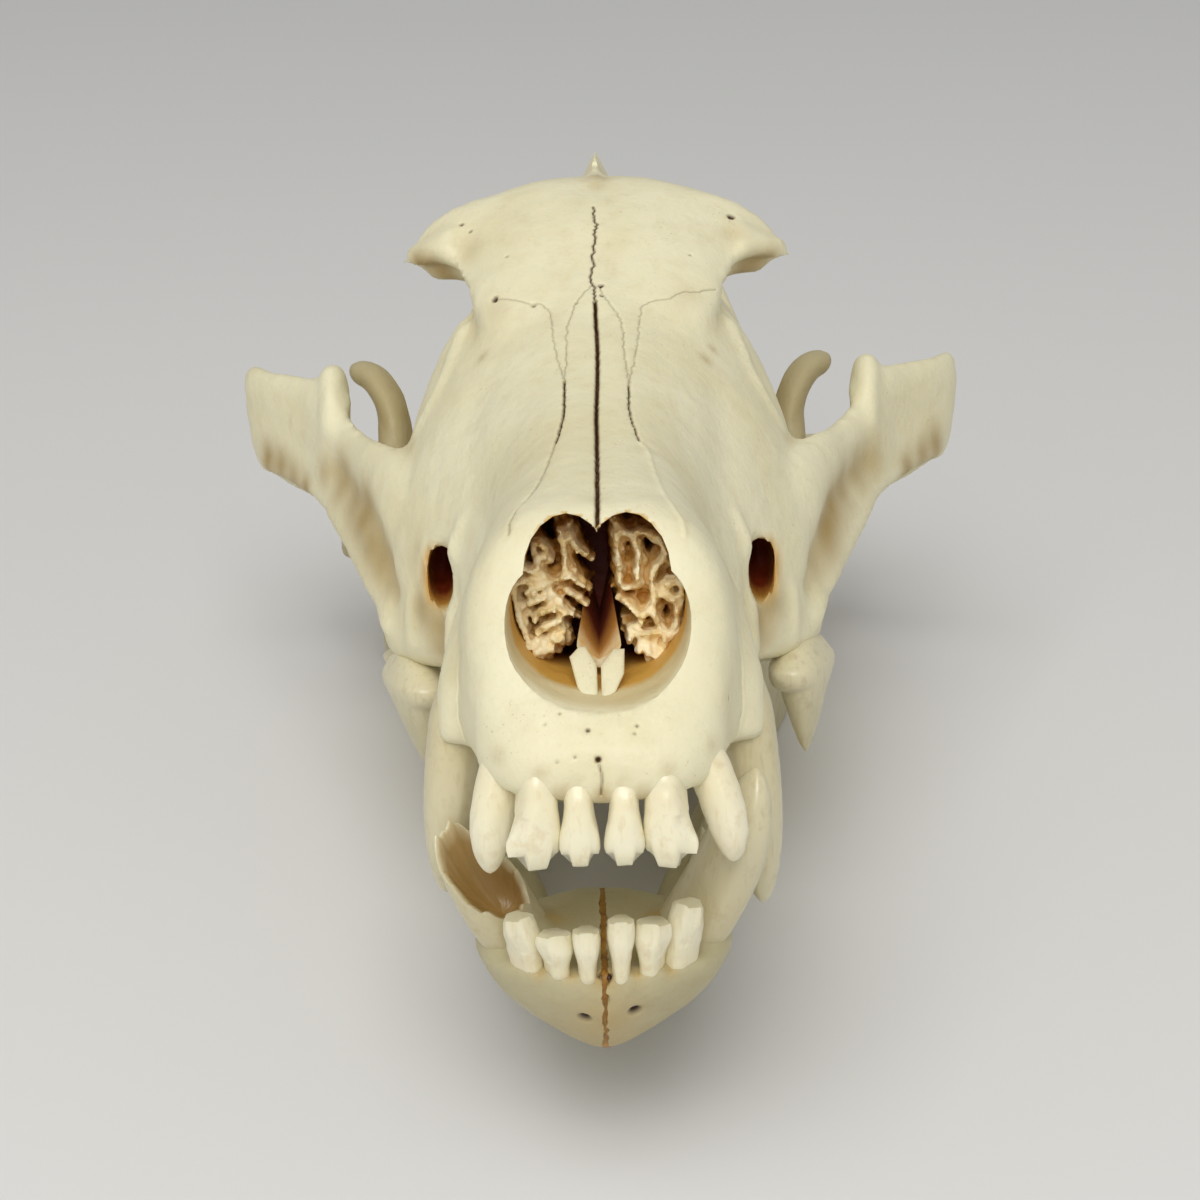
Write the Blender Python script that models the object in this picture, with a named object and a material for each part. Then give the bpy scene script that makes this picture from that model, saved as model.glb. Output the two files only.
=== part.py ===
"""Wolf skull, life size, jaws a little open, resting on its two lower jaws.

Every form is drawn in the skull's own frame in millimetres: x towards the animal's left,
y back from the front of the upper jaw, z up from the plane of the upper cheek teeth.
The finished pieces are tipped back onto the floor and scaled to metres at the end.
"""
import math

import bmesh
import bpy
import numpy as np
from mathutils import Matrix

# Driving dimensions of the skull, in millimetres
ARCH_WIDTH = 143.0
BRAINCASE_WIDTH = 66.0
FOREHEAD_WIDTH = 69.0
CREST_HEIGHT = 88.0
FOREHEAD_HEIGHT = 84.0
INION_Y = 266.0
NASAL_TIP_Y = 21.5
NASAL_TIP_Z = 39.5
JAW_CONDYLE_Y = 197.0
JAW_CONDYLE_Z = 8.0
JAW_OPENING = math.radians(4.5)
JAW_YAW = math.radians(0.6)
JAW_YAW_PIVOT_Y = -8.0
GAP = 0.3

# How the skull rests: tipped nose up about x, then moved so that its box stands on the origin
REST_TILT = math.radians(14.9)
REST_BACK = 137.0
REST_LIFT = 74.0

# Fineness of the solids
VOXEL = 1.5
ROUNDING_STEPS = 5
CRANIUM_FACES = 5600
JAW_FACES = 1100
RING_SIDES = 28
STRAP_COLUMNS = 6

BONE = (0.80, 0.72, 0.56, 1.0)
JAW_BONE = (0.78, 0.70, 0.52, 1.0)
SCROLL_BONE = (0.62, 0.45, 0.20, 1.0)
BONE_ROUGHNESS = 0.5
SHARP_ANGLE = math.radians(40)
SEED = 11


def stations(table, count):
    """A station table carried on to `count` even steps by a cubic through every row."""
    rows = np.asarray(table, dtype=float)
    slope = np.gradient(rows, axis=0)
    along = np.linspace(0, len(rows) - 1, count)
    first = np.minimum(along.astype(int), len(rows) - 2)
    t = (along - first)[:, None]
    start = (2 * t**3 - 3 * t**2 + 1) * rows[first] + (t**3 - 2 * t**2 + t) * slope[first]
    end = (3 * t**2 - 2 * t**3) * rows[first + 1] + (t**3 - t**2) * slope[first + 1]
    return start + end


def oval(power, sides=RING_SIDES):
    """Points round a superellipse of half sizes 1: power 2 is round, more is boxy."""
    angle = np.arange(sides) * 2 * np.pi / sides
    c, s = np.cos(angle), np.sin(angle)
    return np.sign(c) * np.abs(c) ** (2 / power), np.sign(s) * np.abs(s) ** (2 / power)


def skin(rings, name):
    """Closed body over a row of rings, each joined to the next and both ends capped."""
    rings = np.asarray(rings)
    rows, sides = rings.shape[:2]
    index = np.arange(rows * sides).reshape(rows, sides)
    turned = np.roll(index, -1, axis=1)
    quads = np.stack([index[:-1], turned[:-1], turned[1:], index[1:]], axis=-1).reshape(-1, 4)
    faces = quads.tolist() + [index[0].tolist(), index[-1][::-1].tolist()]
    mesh = bpy.data.meshes.new(name)
    mesh.from_pydata(rings.reshape(-1, 3).tolist(), [], faces)
    return closed_object(mesh, name)


def closed_object(mesh, name):
    """Object of a closed mesh whose faces are turned outwards."""
    bm = bmesh.new()
    bm.from_mesh(mesh)
    bmesh.ops.recalc_face_normals(bm, faces=bm.faces)
    if bm.calc_volume(signed=True) < 0:
        bmesh.ops.reverse_faces(bm, faces=bm.faces)
    bm.to_mesh(mesh)
    bm.free()
    body = bpy.data.objects.new(name, mesh)
    bpy.context.scene.collection.objects.link(body)
    return body


def trunk(table, name, steps=40):
    """Symmetric body along y. Rows: y, half width, top, bottom, widest z, top and bottom power,
    hollow of the underside along the midline."""
    rings = []
    for y, half, top, bottom, widest, top_power, bottom_power, hollow in stations(table, steps):
        x_top, z_top = oval(top_power)
        x_low, z_low = oval(bottom_power)
        upper = z_top >= 0
        x = half * np.where(upper, x_top, x_low)
        z = widest + np.where(upper, z_top * (top - widest), z_low * (widest - bottom))
        z = z + np.where(upper, 0.0, hollow * (1 - (x / half) ** 2) * np.abs(z_low))
        rings.append(np.stack([x, np.full_like(x, y), z], axis=-1))
    return skin(rings, name)


def strap(table, name, steps=24, power=2.6, sides=16):
    """Upright plate along a plan path. Rows: x, y, top, bottom, half thickness, lean of the top."""
    rows = stations(table, steps)
    run = np.gradient(rows[:, :2], axis=0)
    run = run / np.linalg.norm(run, axis=1, keepdims=True)
    across = np.stack([run[:, 1], -run[:, 0]], axis=-1)
    c, s = oval(power, sides)
    rings = []
    for (x, y, top, bottom, half, lean), side in zip(rows, across):
        up = s * (top - bottom) / 2
        offset = half * c + lean * s
        rings.append(np.stack([x + side[0] * offset, y + side[1] * offset,
                               (top + bottom) / 2 + up], axis=-1))
    return skin(rings, name)


def horn(table, name, steps=12, sides=14, along=(0.0, 1.0, 0.0), power=2.0):
    """Limb along a path in space. Rows: x, y, z, half size along `along`, half size across it."""
    rows = stations(table, steps)
    path = rows[:, :3]
    run = np.gradient(path, axis=0)
    run = run / np.linalg.norm(run, axis=1, keepdims=True)
    side = np.cross(run, np.asarray(along, dtype=float))
    side = side / np.linalg.norm(side, axis=1, keepdims=True)
    front = np.cross(side, run)
    c, s = oval(power, sides)
    rings = (path[:, None] + front[:, None] * rows[:, 3, None, None] * c[:, None]
             + side[:, None] * rows[:, 4, None, None] * s[:, None])
    return skin(rings, name)


def ball(centre, radii, name):
    """Ellipsoid from a subdivided ball."""
    bm = bmesh.new()
    bmesh.ops.create_icosphere(bm, subdivisions=3, radius=1.0)
    place = Matrix.Translation(centre) @ Matrix.Diagonal((*radii, 1.0))
    bmesh.ops.transform(bm, matrix=place, verts=bm.verts)
    mesh = bpy.data.meshes.new(name)
    bm.to_mesh(mesh)
    bm.free()
    return closed_object(mesh, name)


def box(low, high, name):
    """Block between two corners."""
    bm = bmesh.new()
    bmesh.ops.create_cube(bm, size=1.0)
    low, high = np.asarray(low, dtype=float), np.asarray(high, dtype=float)
    place = Matrix.Translation((low + high) / 2) @ Matrix.Diagonal((*(high - low), 1.0))
    bmesh.ops.transform(bm, matrix=place, verts=bm.verts)
    mesh = bpy.data.meshes.new(name)
    bm.to_mesh(mesh)
    bm.free()
    return closed_object(mesh, name)


def mirrored(table):
    """The same station table on the other side of the midline; a strap leans the other way too."""
    rows = np.array(table, dtype=float)
    rows[:, 0] *= -1
    if rows.shape[1] == STRAP_COLUMNS:
        rows[:, -1] *= -1
    return rows


def both_sides(table, maker, name, **settings):
    """One body on each side of the midline."""
    return [maker(table, name + "_left", **settings),
            maker(mirrored(table), name + "_right", **settings)]


def settle(body):
    """Replace a body's mesh by the one its modifiers give."""
    graph = bpy.context.evaluated_depsgraph_get()
    mesh = bpy.data.meshes.new_from_object(body.evaluated_get(graph))
    body.modifiers.clear()
    body.data = mesh


def remove(bodies):
    """Take helper objects out of the file."""
    for body in bodies:
        bpy.data.objects.remove(body, do_unlink=True)


def joined(bodies, name):
    """One object that holds all the bodies' meshes, still overlapping."""
    bm = bmesh.new()
    for body in bodies:
        bm.from_mesh(body.data)
    mesh = bpy.data.meshes.new(name)
    bm.to_mesh(mesh)
    bm.free()
    remove(bodies)
    whole = bpy.data.objects.new(name, mesh)
    bpy.context.scene.collection.objects.link(whole)
    return whole


def combine(body, others, operation, solver="EXACT"):
    """Boolean of a body with a group of closed bodies, which are then removed."""
    group = bpy.data.collections.new(body.name + "_group")
    bpy.context.scene.collection.children.link(group)
    for other in others:
        group.objects.link(other)
        other.hide_render = True
        other.display_type = "WIRE"
    step = body.modifiers.new("combine", "BOOLEAN")
    step.operand_type = "COLLECTION"
    step.collection = group
    step.operation = operation
    step.solver = solver
    settle(body)
    remove(others)
    bpy.data.collections.remove(group)


def grow_together(body, voxel, rounding):
    """Fuse overlapping forms into one surface and round where they meet."""
    fuse = body.modifiers.new("fuse", "REMESH")
    fuse.mode = "VOXEL"
    fuse.voxel_size = voxel
    if rounding:
        soften = body.modifiers.new("soften", "SMOOTH")
        soften.factor = 0.5
        soften.iterations = rounding
    settle(body)


def thin_out(body, faces):
    """Fewer triangles, kept where the form bends."""
    triangles = sum(len(p.vertices) - 2 for p in body.data.polygons)
    thin = body.modifiers.new("thin", "DECIMATE")
    thin.ratio = min(1.0, faces / triangles)
    thin.use_collapse_triangulate = True
    settle(body)


def keep_largest(body):
    """Keep only the largest closed surface of a body."""
    bm = bmesh.new()
    bm.from_mesh(body.data)
    bmesh.ops.triangulate(bm, faces=bm.faces)
    bmesh.ops.dissolve_degenerate(bm, dist=0.002, edges=bm.edges)
    unseen = set(bm.verts)
    groups = []
    while unseen:
        stack = [unseen.pop()]
        group = []
        while stack:
            vert = stack.pop()
            group.append(vert)
            for edge in vert.link_edges:
                other = edge.other_vert(vert)
                if other in unseen:
                    unseen.discard(other)
                    stack.append(other)
        groups.append(group)
    groups.sort(key=len)
    bmesh.ops.delete(bm, geom=[v for group in groups[:-1] for v in group], context="VERTS")
    bm.to_mesh(body.data)
    bm.free()


def material(name, colour, roughness):
    """Plain bone finish."""
    finish = bpy.data.materials.new(name)
    finish.use_nodes = True
    shader = finish.node_tree.nodes["Principled BSDF"]
    shader.inputs["Base Color"].default_value = colour
    shader.inputs["Roughness"].default_value = roughness
    shader.inputs["Metallic"].default_value = 0.0
    return finish


# Upper skull

SNOUT = [
    # y, half width, top, bottom, widest, top power, bottom power, hollow
    (-0.6, 9.0, 8.0, 0.5, 4.0, 2.2, 2.0, 0.0),
    (2.5, 14.0, 12.0, -0.6, 5.0, 2.6, 2.6, 0.6),
    (7.5, 17.6, 18.0, -0.8, 6.0, 3.2, 3.2, 1.5),
    (13.0, 19.2, 28.0, -0.5, 8.0, 3.6, 2.8, 2.5),
    (NASAL_TIP_Y - 2.0, 20.8, NASAL_TIP_Z, 0.0, 9.0, 3.2, 2.8, 3.0),
    (32.0, 21.8, 42.5, 0.0, 9.0, 2.7, 4.0, 3.5),
    (46.0, 20.5, 45.0, 0.0, 9.0, 2.5, 4.0, 4.0),
    (60.0, 20.6, 48.0, 0.0, 10.0, 2.4, 4.0, 4.5),
    (74.0, 23.5, 52.0, 0.0, 12.0, 2.2, 4.0, 5.0),
    (88.0, 31.0, 57.0, -1.0, 12.0, 2.0, 4.0, 6.5),
    (101.0, 38.2, 63.0, -3.0, 10.0, 1.85, 4.0, 8.0),
    (113.0, 39.6, 70.0, -2.6, 12.0, 1.8, 4.0, 7.5),
    (123.0, 36.5, 76.5, -0.5, 24.0, 1.8, 3.6, 5.5),
    (129.0, 33.0, 78.0, 5.0, 28.0, 1.8, 2.6, 3.0),
]

FOREHEAD = [
    (100.0, 16.0, 61.0, 45.0, 53.0, 2.0, 1.4, 0.0),
    (114.0, 22.0, 70.5, 52.0, 62.0, 2.0, 1.4, 0.0),
    (123.0, 24.0, 77.0, 55.0, 66.0, 2.0, 1.3, 0.0),
    (129.0, 26.4, 80.4, 57.0, 68.5, 2.0, 1.2, 0.0),
    (134.0, 30.4, 82.6, 58.0, 69.8, 2.0, 1.2, 0.0),
    (138.0, FOREHEAD_WIDTH / 2, FOREHEAD_HEIGHT, 59.0, 70.5, 2.0, 1.15, 0.0),
    (142.0, 31.5, FOREHEAD_HEIGHT + 0.6, 59.0, 70.5, 2.0, 1.2, 0.0),
    (150.0, 25.0, FOREHEAD_HEIGHT + 0.5, 57.0, 70.0, 1.9, 1.4, 0.0),
    (162.0, 20.0, FOREHEAD_HEIGHT - 1.5, 54.0, 68.0, 1.7, 1.8, 0.0),
    (176.0, 18.0, 78.0, 52.0, 64.0, 1.7, 2.0, 0.0),
]

BRAINCASE = [
    (112.0, 20.0, 66.0, 12.0, 42.0, 2.4, 3.0, 0.0),
    (130.0, 18.5, 74.0, 15.0, 52.0, 2.2, 2.6, 0.0),
    (148.0, 18.5, 76.0, 18.0, 55.0, 2.2, 2.4, 0.0),
    (164.0, 19.0, 74.0, 21.0, 50.0, 2.1, 2.2, 0.0),
    (178.0, 24.5, 74.0, 20.0, 43.0, 1.9, 2.4, 0.0),
    (192.0, 30.5, 74.5, 17.0, 40.0, 1.7, 2.6, 0.0),
    (208.0, BRAINCASE_WIDTH / 2, 74.5, 15.0, 38.0, 1.6, 2.8, 0.0),
    (224.0, BRAINCASE_WIDTH / 2 - 0.5, 73.0, 15.0, 38.0, 1.6, 2.8, 0.0),
    (236.0, 29.0, 70.0, 17.0, 39.0, 1.8, 2.6, 0.0),
    (245.0, 20.0, 62.0, 24.0, 42.0, 2.0, 2.2, 0.0),
]

CREST = [
    # concave flanks come from the power below one
    (146.0, 8.0, 84.0, 66.0, 74.0, 1.0, 1.0, 0.0),
    (158.0, 12.0, CREST_HEIGHT - 1.4, 60.0, 71.0, 0.72, 1.0, 0.0),
    (172.0, 14.0, CREST_HEIGHT, 58.0, 69.0, 0.62, 1.0, 0.0),
    (200.0, 16.0, CREST_HEIGHT - 0.4, 58.0, 68.5, 0.56, 1.0, 0.0),
    (228.0, 18.0, CREST_HEIGHT - 1.6, 58.0, 67.5, 0.56, 1.0, 0.0),
    (248.0, 17.0, CREST_HEIGHT - 2.6, 58.0, 67.0, 0.62, 1.0, 0.0),
    (260.0, 9.0, CREST_HEIGHT - 4.0, 66.0, 73.0, 0.8, 1.0, 0.0),
    (INION_Y, 3.0, CREST_HEIGHT - 6.0, 76.0, 79.0, 1.4, 1.4, 0.0),
]

OCCIPUT = [
    (228.0, 28.0, 68.0, 24.0, 42.0, 1.9, 2.0, 0.0),
    (240.0, 27.0, 72.0, 32.0, 48.0, 1.7, 1.6, 0.0),
    (250.0, 21.0, 76.0, 46.0, 60.0, 1.6, 1.3, 0.0),
    (258.0, 13.0, 80.0, 60.0, 71.0, 1.5, 1.2, 0.0),
    (INION_Y - 1.0, 4.0, 82.0, 74.0, 78.0, 1.5, 1.5, 0.0),
]

SKULL_BASE = [
    (160.0, 8.0, 30.0, 16.0, 22.0, 2.0, 3.0, 0.0),
    (180.0, 11.0, 30.0, 14.0, 20.0, 2.0, 3.0, 0.0),
    (210.0, 12.0, 30.0, 12.5, 20.0, 2.0, 3.0, 0.0),
    (232.0, 14.0, 28.0, 13.0, 20.0, 2.0, 3.0, 0.0),
    (241.0, 15.0, 26.0, 15.0, 20.0, 2.0, 2.4, 0.0),
]

NUCHAL_CREST = [
    (2.0, INION_Y - 1.5, 81.0, 3.0, 2.6),
    (11.0, INION_Y - 4.5, 77.5, 4.0, 2.2),
    (19.5, 255.0, 69.5, 4.5, 2.0),
    (25.5, 246.0, 58.0, 4.5, 2.0),
    (29.5, 237.0, 45.0, 5.0, 2.4),
    (32.0, 229.0, 32.0, 6.0, 3.2),
    (32.5, 224.0, 21.0, 5.0, 3.2),
]

# rows: x, y, top, bottom, half thickness, lean
ARCH = [
    (28.0, 101.0, 34.0, 6.0, 7.0, 0.0),
    (34.5, 109.0, 37.0, 5.0, 6.0, -0.5),
    (40.0, 119.0, 38.0, 12.0, 4.6, -1.0),
    (44.8, 130.0, 38.4, 17.5, 3.6, -1.2),
    (49.3, 140.0, 41.0, 21.0, 3.0, -0.6),
    (53.0, 148.0, 47.0, 23.4, 2.8, -0.4),
    (58.0, 157.0, 48.0, 24.5, 2.7, 0.0),
    (64.0, 166.0, 48.0, 25.5, 2.8, 0.6),
    (ARCH_WIDTH / 2 - 3.4, 175.0, 48.8, 26.5, 2.9, 1.0),
    (ARCH_WIDTH / 2 - 4.2, 184.0, 44.5, 24.0, 3.0, 0.6),
    (61.5, 192.5, 36.5, 19.0, 3.8, 0.0),
    (53.0, 197.0, 30.0, 14.5, 5.6, 0.0),
    (43.0, 199.5, 28.0, 12.0, 8.2, 0.0),
    (30.0, 200.5, 30.0, 12.0, 10.0, 0.0),
]

JUGAL_SPUR = [
    (50.6, 146.0, 36.0, 5.0, 2.4),
    (50.6, 148.0, 42.0, 4.0, 2.2),
    (50.2, 150.0, 46.5, 2.6, 1.9),
    (49.8, 151.2, 50.0, 1.2, 1.1),
]

BROW_SPUR = [
    (24.0, 134.5, 72.0, 8.0, 5.0),
    (30.0, 136.5, 71.0, 5.0, 3.4),
    (33.0, 138.0, 70.0, 3.0, 2.2),
    (35.4, 139.0, 68.8, 1.2, 1.0),
]

CANINE_JUGUM = [
    (20.5, 27.0, 3.0, 7.0, 4.6),
    (20.0, 30.0, 12.0, 7.0, 5.0),
    (18.0, 36.0, 22.0, 6.0, 4.2),
    (15.0, 43.0, 31.0, 4.6, 3.0),
]

PTERYGOID_PLATE = [
    (11.5, 114.0, 22.0, 2.0, 2.2, 0.0),
    (10.5, 130.0, 24.0, 4.5, 1.9, 0.4),
    (9.6, 146.0, 25.0, 5.0, 1.8, 0.8),
    (9.4, 158.0, 24.0, 4.0, 1.7, 0.8),
    (9.2, 165.0, 19.0, 3.0, 1.3, 0.4),
]

JUGULAR_PROCESS = [
    (25.0, 231.0, 30.0, 6.0, 6.0),
    (27.0, 232.0, 18.0, 4.6, 5.0),
    (27.5, 233.0, 6.0, 3.2, 3.8),
    (27.0, 235.0, -6.0, 1.6, 2.0),
]

RETROARTICULAR_PROCESS = [
    (40.0, 206.8, 22.0, 3.6, 9.0),
    (39.5, 206.8, 13.0, 3.0, 8.0),
    (38.5, 206.4, 5.0, 2.0, 6.0),
    (37.5, 205.8, -1.0, 1.1, 3.0),
]

TUBEROSITY = [
    (26.0, 112.0, 12.0, 0.5, 9.0, 0.0),
    (27.0, 122.0, 14.0, 0.5, 8.0, 0.0),
    (26.0, 132.0, 13.0, 1.5, 6.0, 0.0),
    (23.0, 138.0, 12.0, 5.0, 3.0, 0.0),
]

BULLA_CENTRE = (19.5, 214.0, 11.0)
BULLA_RADII = (11.0, 15.0, 12.5)
CONDYLE_CENTRE = (11.5, 238.5, 22.5)
CONDYLE_RADII = (7.5, 7.0, 9.5)
ORBIT_CENTRE = (41.5, 145.0, 49.5)
ORBIT_RADII = (20.0, 26.0, 22.0)

# Nasal cavity, rows as for a trunk
NOSE_HOLE = [
    (-4.0, 10.0, 33.0, 12.0, 24.0, 2.0, 2.0, 0.0),
    (6.0, 12.0, 37.0, 12.5, 26.0, 2.2, 2.0, 0.0),
    (16.0, 13.0, 38.0, 13.0, 26.5, 2.4, 2.0, 0.0),
    (30.0, 13.0, 38.5, 13.5, 26.0, 2.4, 2.2, 0.0),
    (48.0, 12.0, 39.0, 14.0, 26.0, 2.2, 2.2, 0.0),
    (66.0, 10.0, 38.0, 16.0, 27.0, 2.0, 2.0, 0.0),
]

MAGNUM = [
    (0.0, 222.0, 33.0, 6.0, 6.0),
    (0.0, 236.0, 31.0, 8.5, 8.5),
    (0.0, 258.0, 28.0, 11.0, 10.0),
]

CHOANA = [
    (0.0, 112.0, 14.0, 5.0, 5.0),
    (0.0, 124.0, 12.0, 9.0, 8.0),
    (0.0, 172.0, 12.0, 8.5, 8.0),
]

INFRAORBITAL = [
    (25.6, 72.0, 17.0, 2.2, 4.4),
    (26.2, 82.0, 18.5, 2.6, 4.6),
    (28.5, 98.0, 20.5, 2.4, 3.6),
]

EAR = [
    (44.0, 212.0, 23.0, 3.4, 3.4),
    (34.0, 212.5, 22.0, 3.2, 3.2),
    (25.0, 213.0, 20.0, 2.4, 2.4),
]


def cranium_forms():
    """Overlapping forms of the upper skull, without its cheek arches."""
    forms = [trunk(SNOUT, "snout", 56), trunk(FOREHEAD, "forehead"), trunk(BRAINCASE, "case", 48),
             trunk(CREST, "crest", 48), trunk(OCCIPUT, "occiput"), trunk(SKULL_BASE, "base")]
    forms += both_sides(NUCHAL_CREST, horn, "nuchal", steps=24)
    forms += both_sides(BROW_SPUR, horn, "brow")
    forms += both_sides(CANINE_JUGUM, horn, "jugum")
    forms += both_sides(JUGULAR_PROCESS, horn, "jugular")
    forms += both_sides(PTERYGOID_PLATE, strap, "pterygoid")
    forms += both_sides(TUBEROSITY, strap, "tuberosity")
    for side in (1, -1):
        forms.append(ball((side * BULLA_CENTRE[0], *BULLA_CENTRE[1:]), BULLA_RADII, "bulla"))
        forms.append(ball((side * CONDYLE_CENTRE[0], *CONDYLE_CENTRE[1:]), CONDYLE_RADII, "condyle"))
    return forms


def cranium_cutters():
    """Orbits, nose, spinal opening, throat passage, cheek foramina and ears."""
    cutters = [trunk(NOSE_HOLE, "nose"), horn(MAGNUM, "magnum", along=(1.0, 0.0, 0.0)),
               horn(CHOANA, "choana", along=(1.0, 0.0, 0.0))]
    cutters += both_sides(INFRAORBITAL, horn, "infraorbital", along=(1.0, 0.0, 0.0))
    cutters += both_sides(EAR, horn, "ear")
    for side in (1, -1):
        cutters.append(ball((side * ORBIT_CENTRE[0], *ORBIT_CENTRE[1:]), ORBIT_RADII, "orbit"))
    return cutters


def arch_forms():
    """Cheek arches with the spur behind the eye and the stop behind the jaw joint."""
    forms = both_sides(ARCH, strap, "arch", steps=48)
    forms += both_sides(JUGAL_SPUR, horn, "jugal_spur")
    forms += both_sides(RETROARTICULAR_PROCESS, horn, "retroarticular")
    return forms


def whole_cranium():
    """Upper skull as one grown form: fused, hollowed, given its arches and rounded."""
    whole = joined(cranium_forms(), "cranium")
    grow_together(whole, VOXEL, 0)
    # the mesh is dense here, where EXACT is slow
    combine(whole, cranium_cutters(), "DIFFERENCE", "MANIFOLD")
    whole = joined([whole] + arch_forms(), "cranium")
    grow_together(whole, VOXEL, ROUNDING_STEPS)
    thin_out(whole, CRANIUM_FACES)
    return whole


# Teeth

# rows: height as a share of the crown, length, width, forward lean as shares of the crown's
CONE = [(-0.7, 0.6, 0.65, 0.0), (0.05, 1.0, 1.0, 0.0), (0.45, 0.66, 0.7, 0.0), (0.8, 0.34, 0.36, 0.0),
        (1.0, 0.1, 0.14, 0.0)]
BLADE = [(-0.6, 0.84, 0.65, 0.0), (0.12, 1.0, 1.0, 0.0), (0.5, 0.66, 0.62, 0.0), (0.85, 0.3, 0.3, 0.02),
         (1.0, 0.1, 0.12, 0.03)]
CHISEL = [(-0.55, 0.5, 0.7, -0.1), (0.05, 0.7, 1.0, 0.0), (0.5, 0.95, 0.86, 0.0), (0.8, 1.0, 0.6, 0.0),
          (1.0, 0.7, 0.26, 0.0)]
MOUND = [(-0.9, 0.84, 0.84, 0.0), (0.1, 1.0, 1.0, 0.0), (0.7, 0.86, 0.84, 0.0), (1.0, 0.5, 0.5, 0.0)]
CARNASSIAL = [(-0.6, 0.7, 0.5, 0.0), (0.1, 1.0, 1.0, 0.0), (0.42, 0.94, 0.95, 0.0), (0.7, 0.6, 0.62, 0.0),
              (0.92, 0.28, 0.3, 0.02), (1.0, 0.1, 0.12, 0.03)]
SABRE = [(-0.3, 0.64, 0.56, -0.12), (-0.12, 0.92, 0.88, -0.05), (0.05, 1.0, 1.0, 0.02), (0.3, 0.9, 0.9, 0.06),
         (0.55, 0.72, 0.74, 0.06), (0.8, 0.46, 0.48, 0.02), (0.94, 0.25, 0.27, -0.02), (1.0, 0.1, 0.1, -0.04)]

# rows: kind, x, y, gum z, tip x, tip y, tip z, length along the row, width across, row angle
UPPER_TEETH = [
    (CHISEL, 3.7, 2.6, 3.0, 3.3, -0.6, -8.4, 6.4, 7.0, 90.0),
    (CHISEL, 9.9, 4.6, 4.0, 9.6, 1.0, -9.2, 7.4, 8.0, 72.0),
    (SABRE, 15.4, 10.4, 5.0, 17.2, 7.4, -10.8, 7.8, 6.4, 50.0),
    (SABRE, 22.0, 30.5, 6.0, 24.4, 33.2, -24.4, 13.5, 9.4, 8.0),
    (CONE, 20.6, 43.5, 2.0, 20.6, 43.0, -5.5, 7.6, 5.0, 6.0),
    (BLADE, 20.6, 56.5, 2.0, 20.8, 55.5, -8.0, 13.0, 5.6, 4.0),
    (BLADE, 23.0, 73.0, 2.0, 23.4, 72.0, -9.5, 14.6, 6.4, -14.0),
    (CARNASSIAL, 35.4, 97.0, -1.2, 35.0, 96.4, -15.2, 17.5, 9.6, -17.0),
    (CARNASSIAL, 36.4, 107.0, -1.0, 36.2, 107.4, -11.6, 12.0, 7.6, -10.0),
    (MOUND, 32.0, 118.0, -0.6, 32.0, 118.0, -7.4, 13.0, 16.5, 0.0),
    (MOUND, 28.5, 129.0, 1.0, 28.5, 129.0, -5.0, 8.4, 12.5, 8.0),
]

BROKEN_CANINE_HEIGHT = 0.44

LOWER_TEETH = [
    (CHISEL, 2.7, 10.6, -14.0, 2.8, 7.4, -5.6, 4.6, 6.0, 90.0),
    (CHISEL, 7.4, 12.0, -14.0, 7.2, 9.2, -5.4, 5.4, 6.4, 72.0),
    (CHISEL, 12.2, 13.0, -14.0, 12.8, 10.4, -4.0, 6.2, 6.0, 48.0),
    (SABRE, 16.2, 23.0, -12.0, 23.4, 17.4, 15.4, 10.5, 7.6, 10.0),
    (CONE, 15.4, 39.5, -13.0, 15.4, 39.2, -9.0, 5.6, 4.4, -14.0),
    (BLADE, 16.4, 50.0, -13.0, 16.4, 49.2, -5.5, 11.4, 5.0, -14.0),
    (BLADE, 18.8, 63.0, -13.0, 18.8, 62.2, -4.5, 12.6, 5.4, -13.0),
    (BLADE, 21.4, 77.5, -12.5, 21.4, 76.8, -2.6, 14.4, 6.2, -12.0),
    (BLADE, 24.6, 94.5, -12.0, 25.0, 95.8, 3.0, 17.0, 7.6, -11.0),
    (MOUND, 26.8, 107.0, -11.5, 26.8, 107.0, -4.6, 12.0, 8.0, -11.0),
    (MOUND, 28.8, 118.0, -10.5, 28.8, 118.0, -4.8, 10.4, 7.8, -10.0),
    (MOUND, 30.4, 127.0, -9.5, 30.4, 127.0, -5.6, 5.0, 4.6, -10.0),
]

TOOTH_SIDES = 8
TOOTH_VARIATION = 0.03


def tooth(row, side, name, draw, broken=1.0):
    """One tooth, its root sunk in the bone: an oval profile carried from root to tip."""
    profile, x, y, z, tip_x, tip_y, tip_z, length, width, angle = row
    base = np.array((side * x, y, z))
    axis = np.array((side * tip_x, tip_y, tip_z)) - base
    grow = 1 + draw.uniform(-TOOTH_VARIATION, TOOTH_VARIATION, 3)
    turn = math.radians(angle)
    along = np.array((side * math.sin(turn), -math.cos(turn), 0.0))
    across = np.array((side * math.cos(turn), math.sin(turn), 0.0))
    c, s = oval(2.0, TOOTH_SIDES)
    rings = []
    for share, long_share, wide_share, lean in profile:
        share = min(share, broken)
        centre = base + axis * share + along * lean * length
        rings.append(centre + np.outer(c * long_share * length * grow[0] / 2, along)
                     + np.outer(s * wide_share * width * grow[1] / 2, across))
        if share == broken:
            break
    return skin(rings, name)


def tooth_row(rows, side, draw, broken_canine=False):
    """All the teeth of one side of a jaw."""
    teeth = []
    for number, row in enumerate(rows):
        cut = BROKEN_CANINE_HEIGHT if broken_canine and row[0] is SABRE else 1.0
        teeth.append(tooth(row, side, f"tooth_{number}", draw, cut))
    return teeth


# Parts of the upper skull, divided by thin cuts

ARCH_CUT_X = 42.5
FACE_CUT_Y = 138.5
FACE_CUT_SLOPE = -0.33
FAR = 400.0


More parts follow.
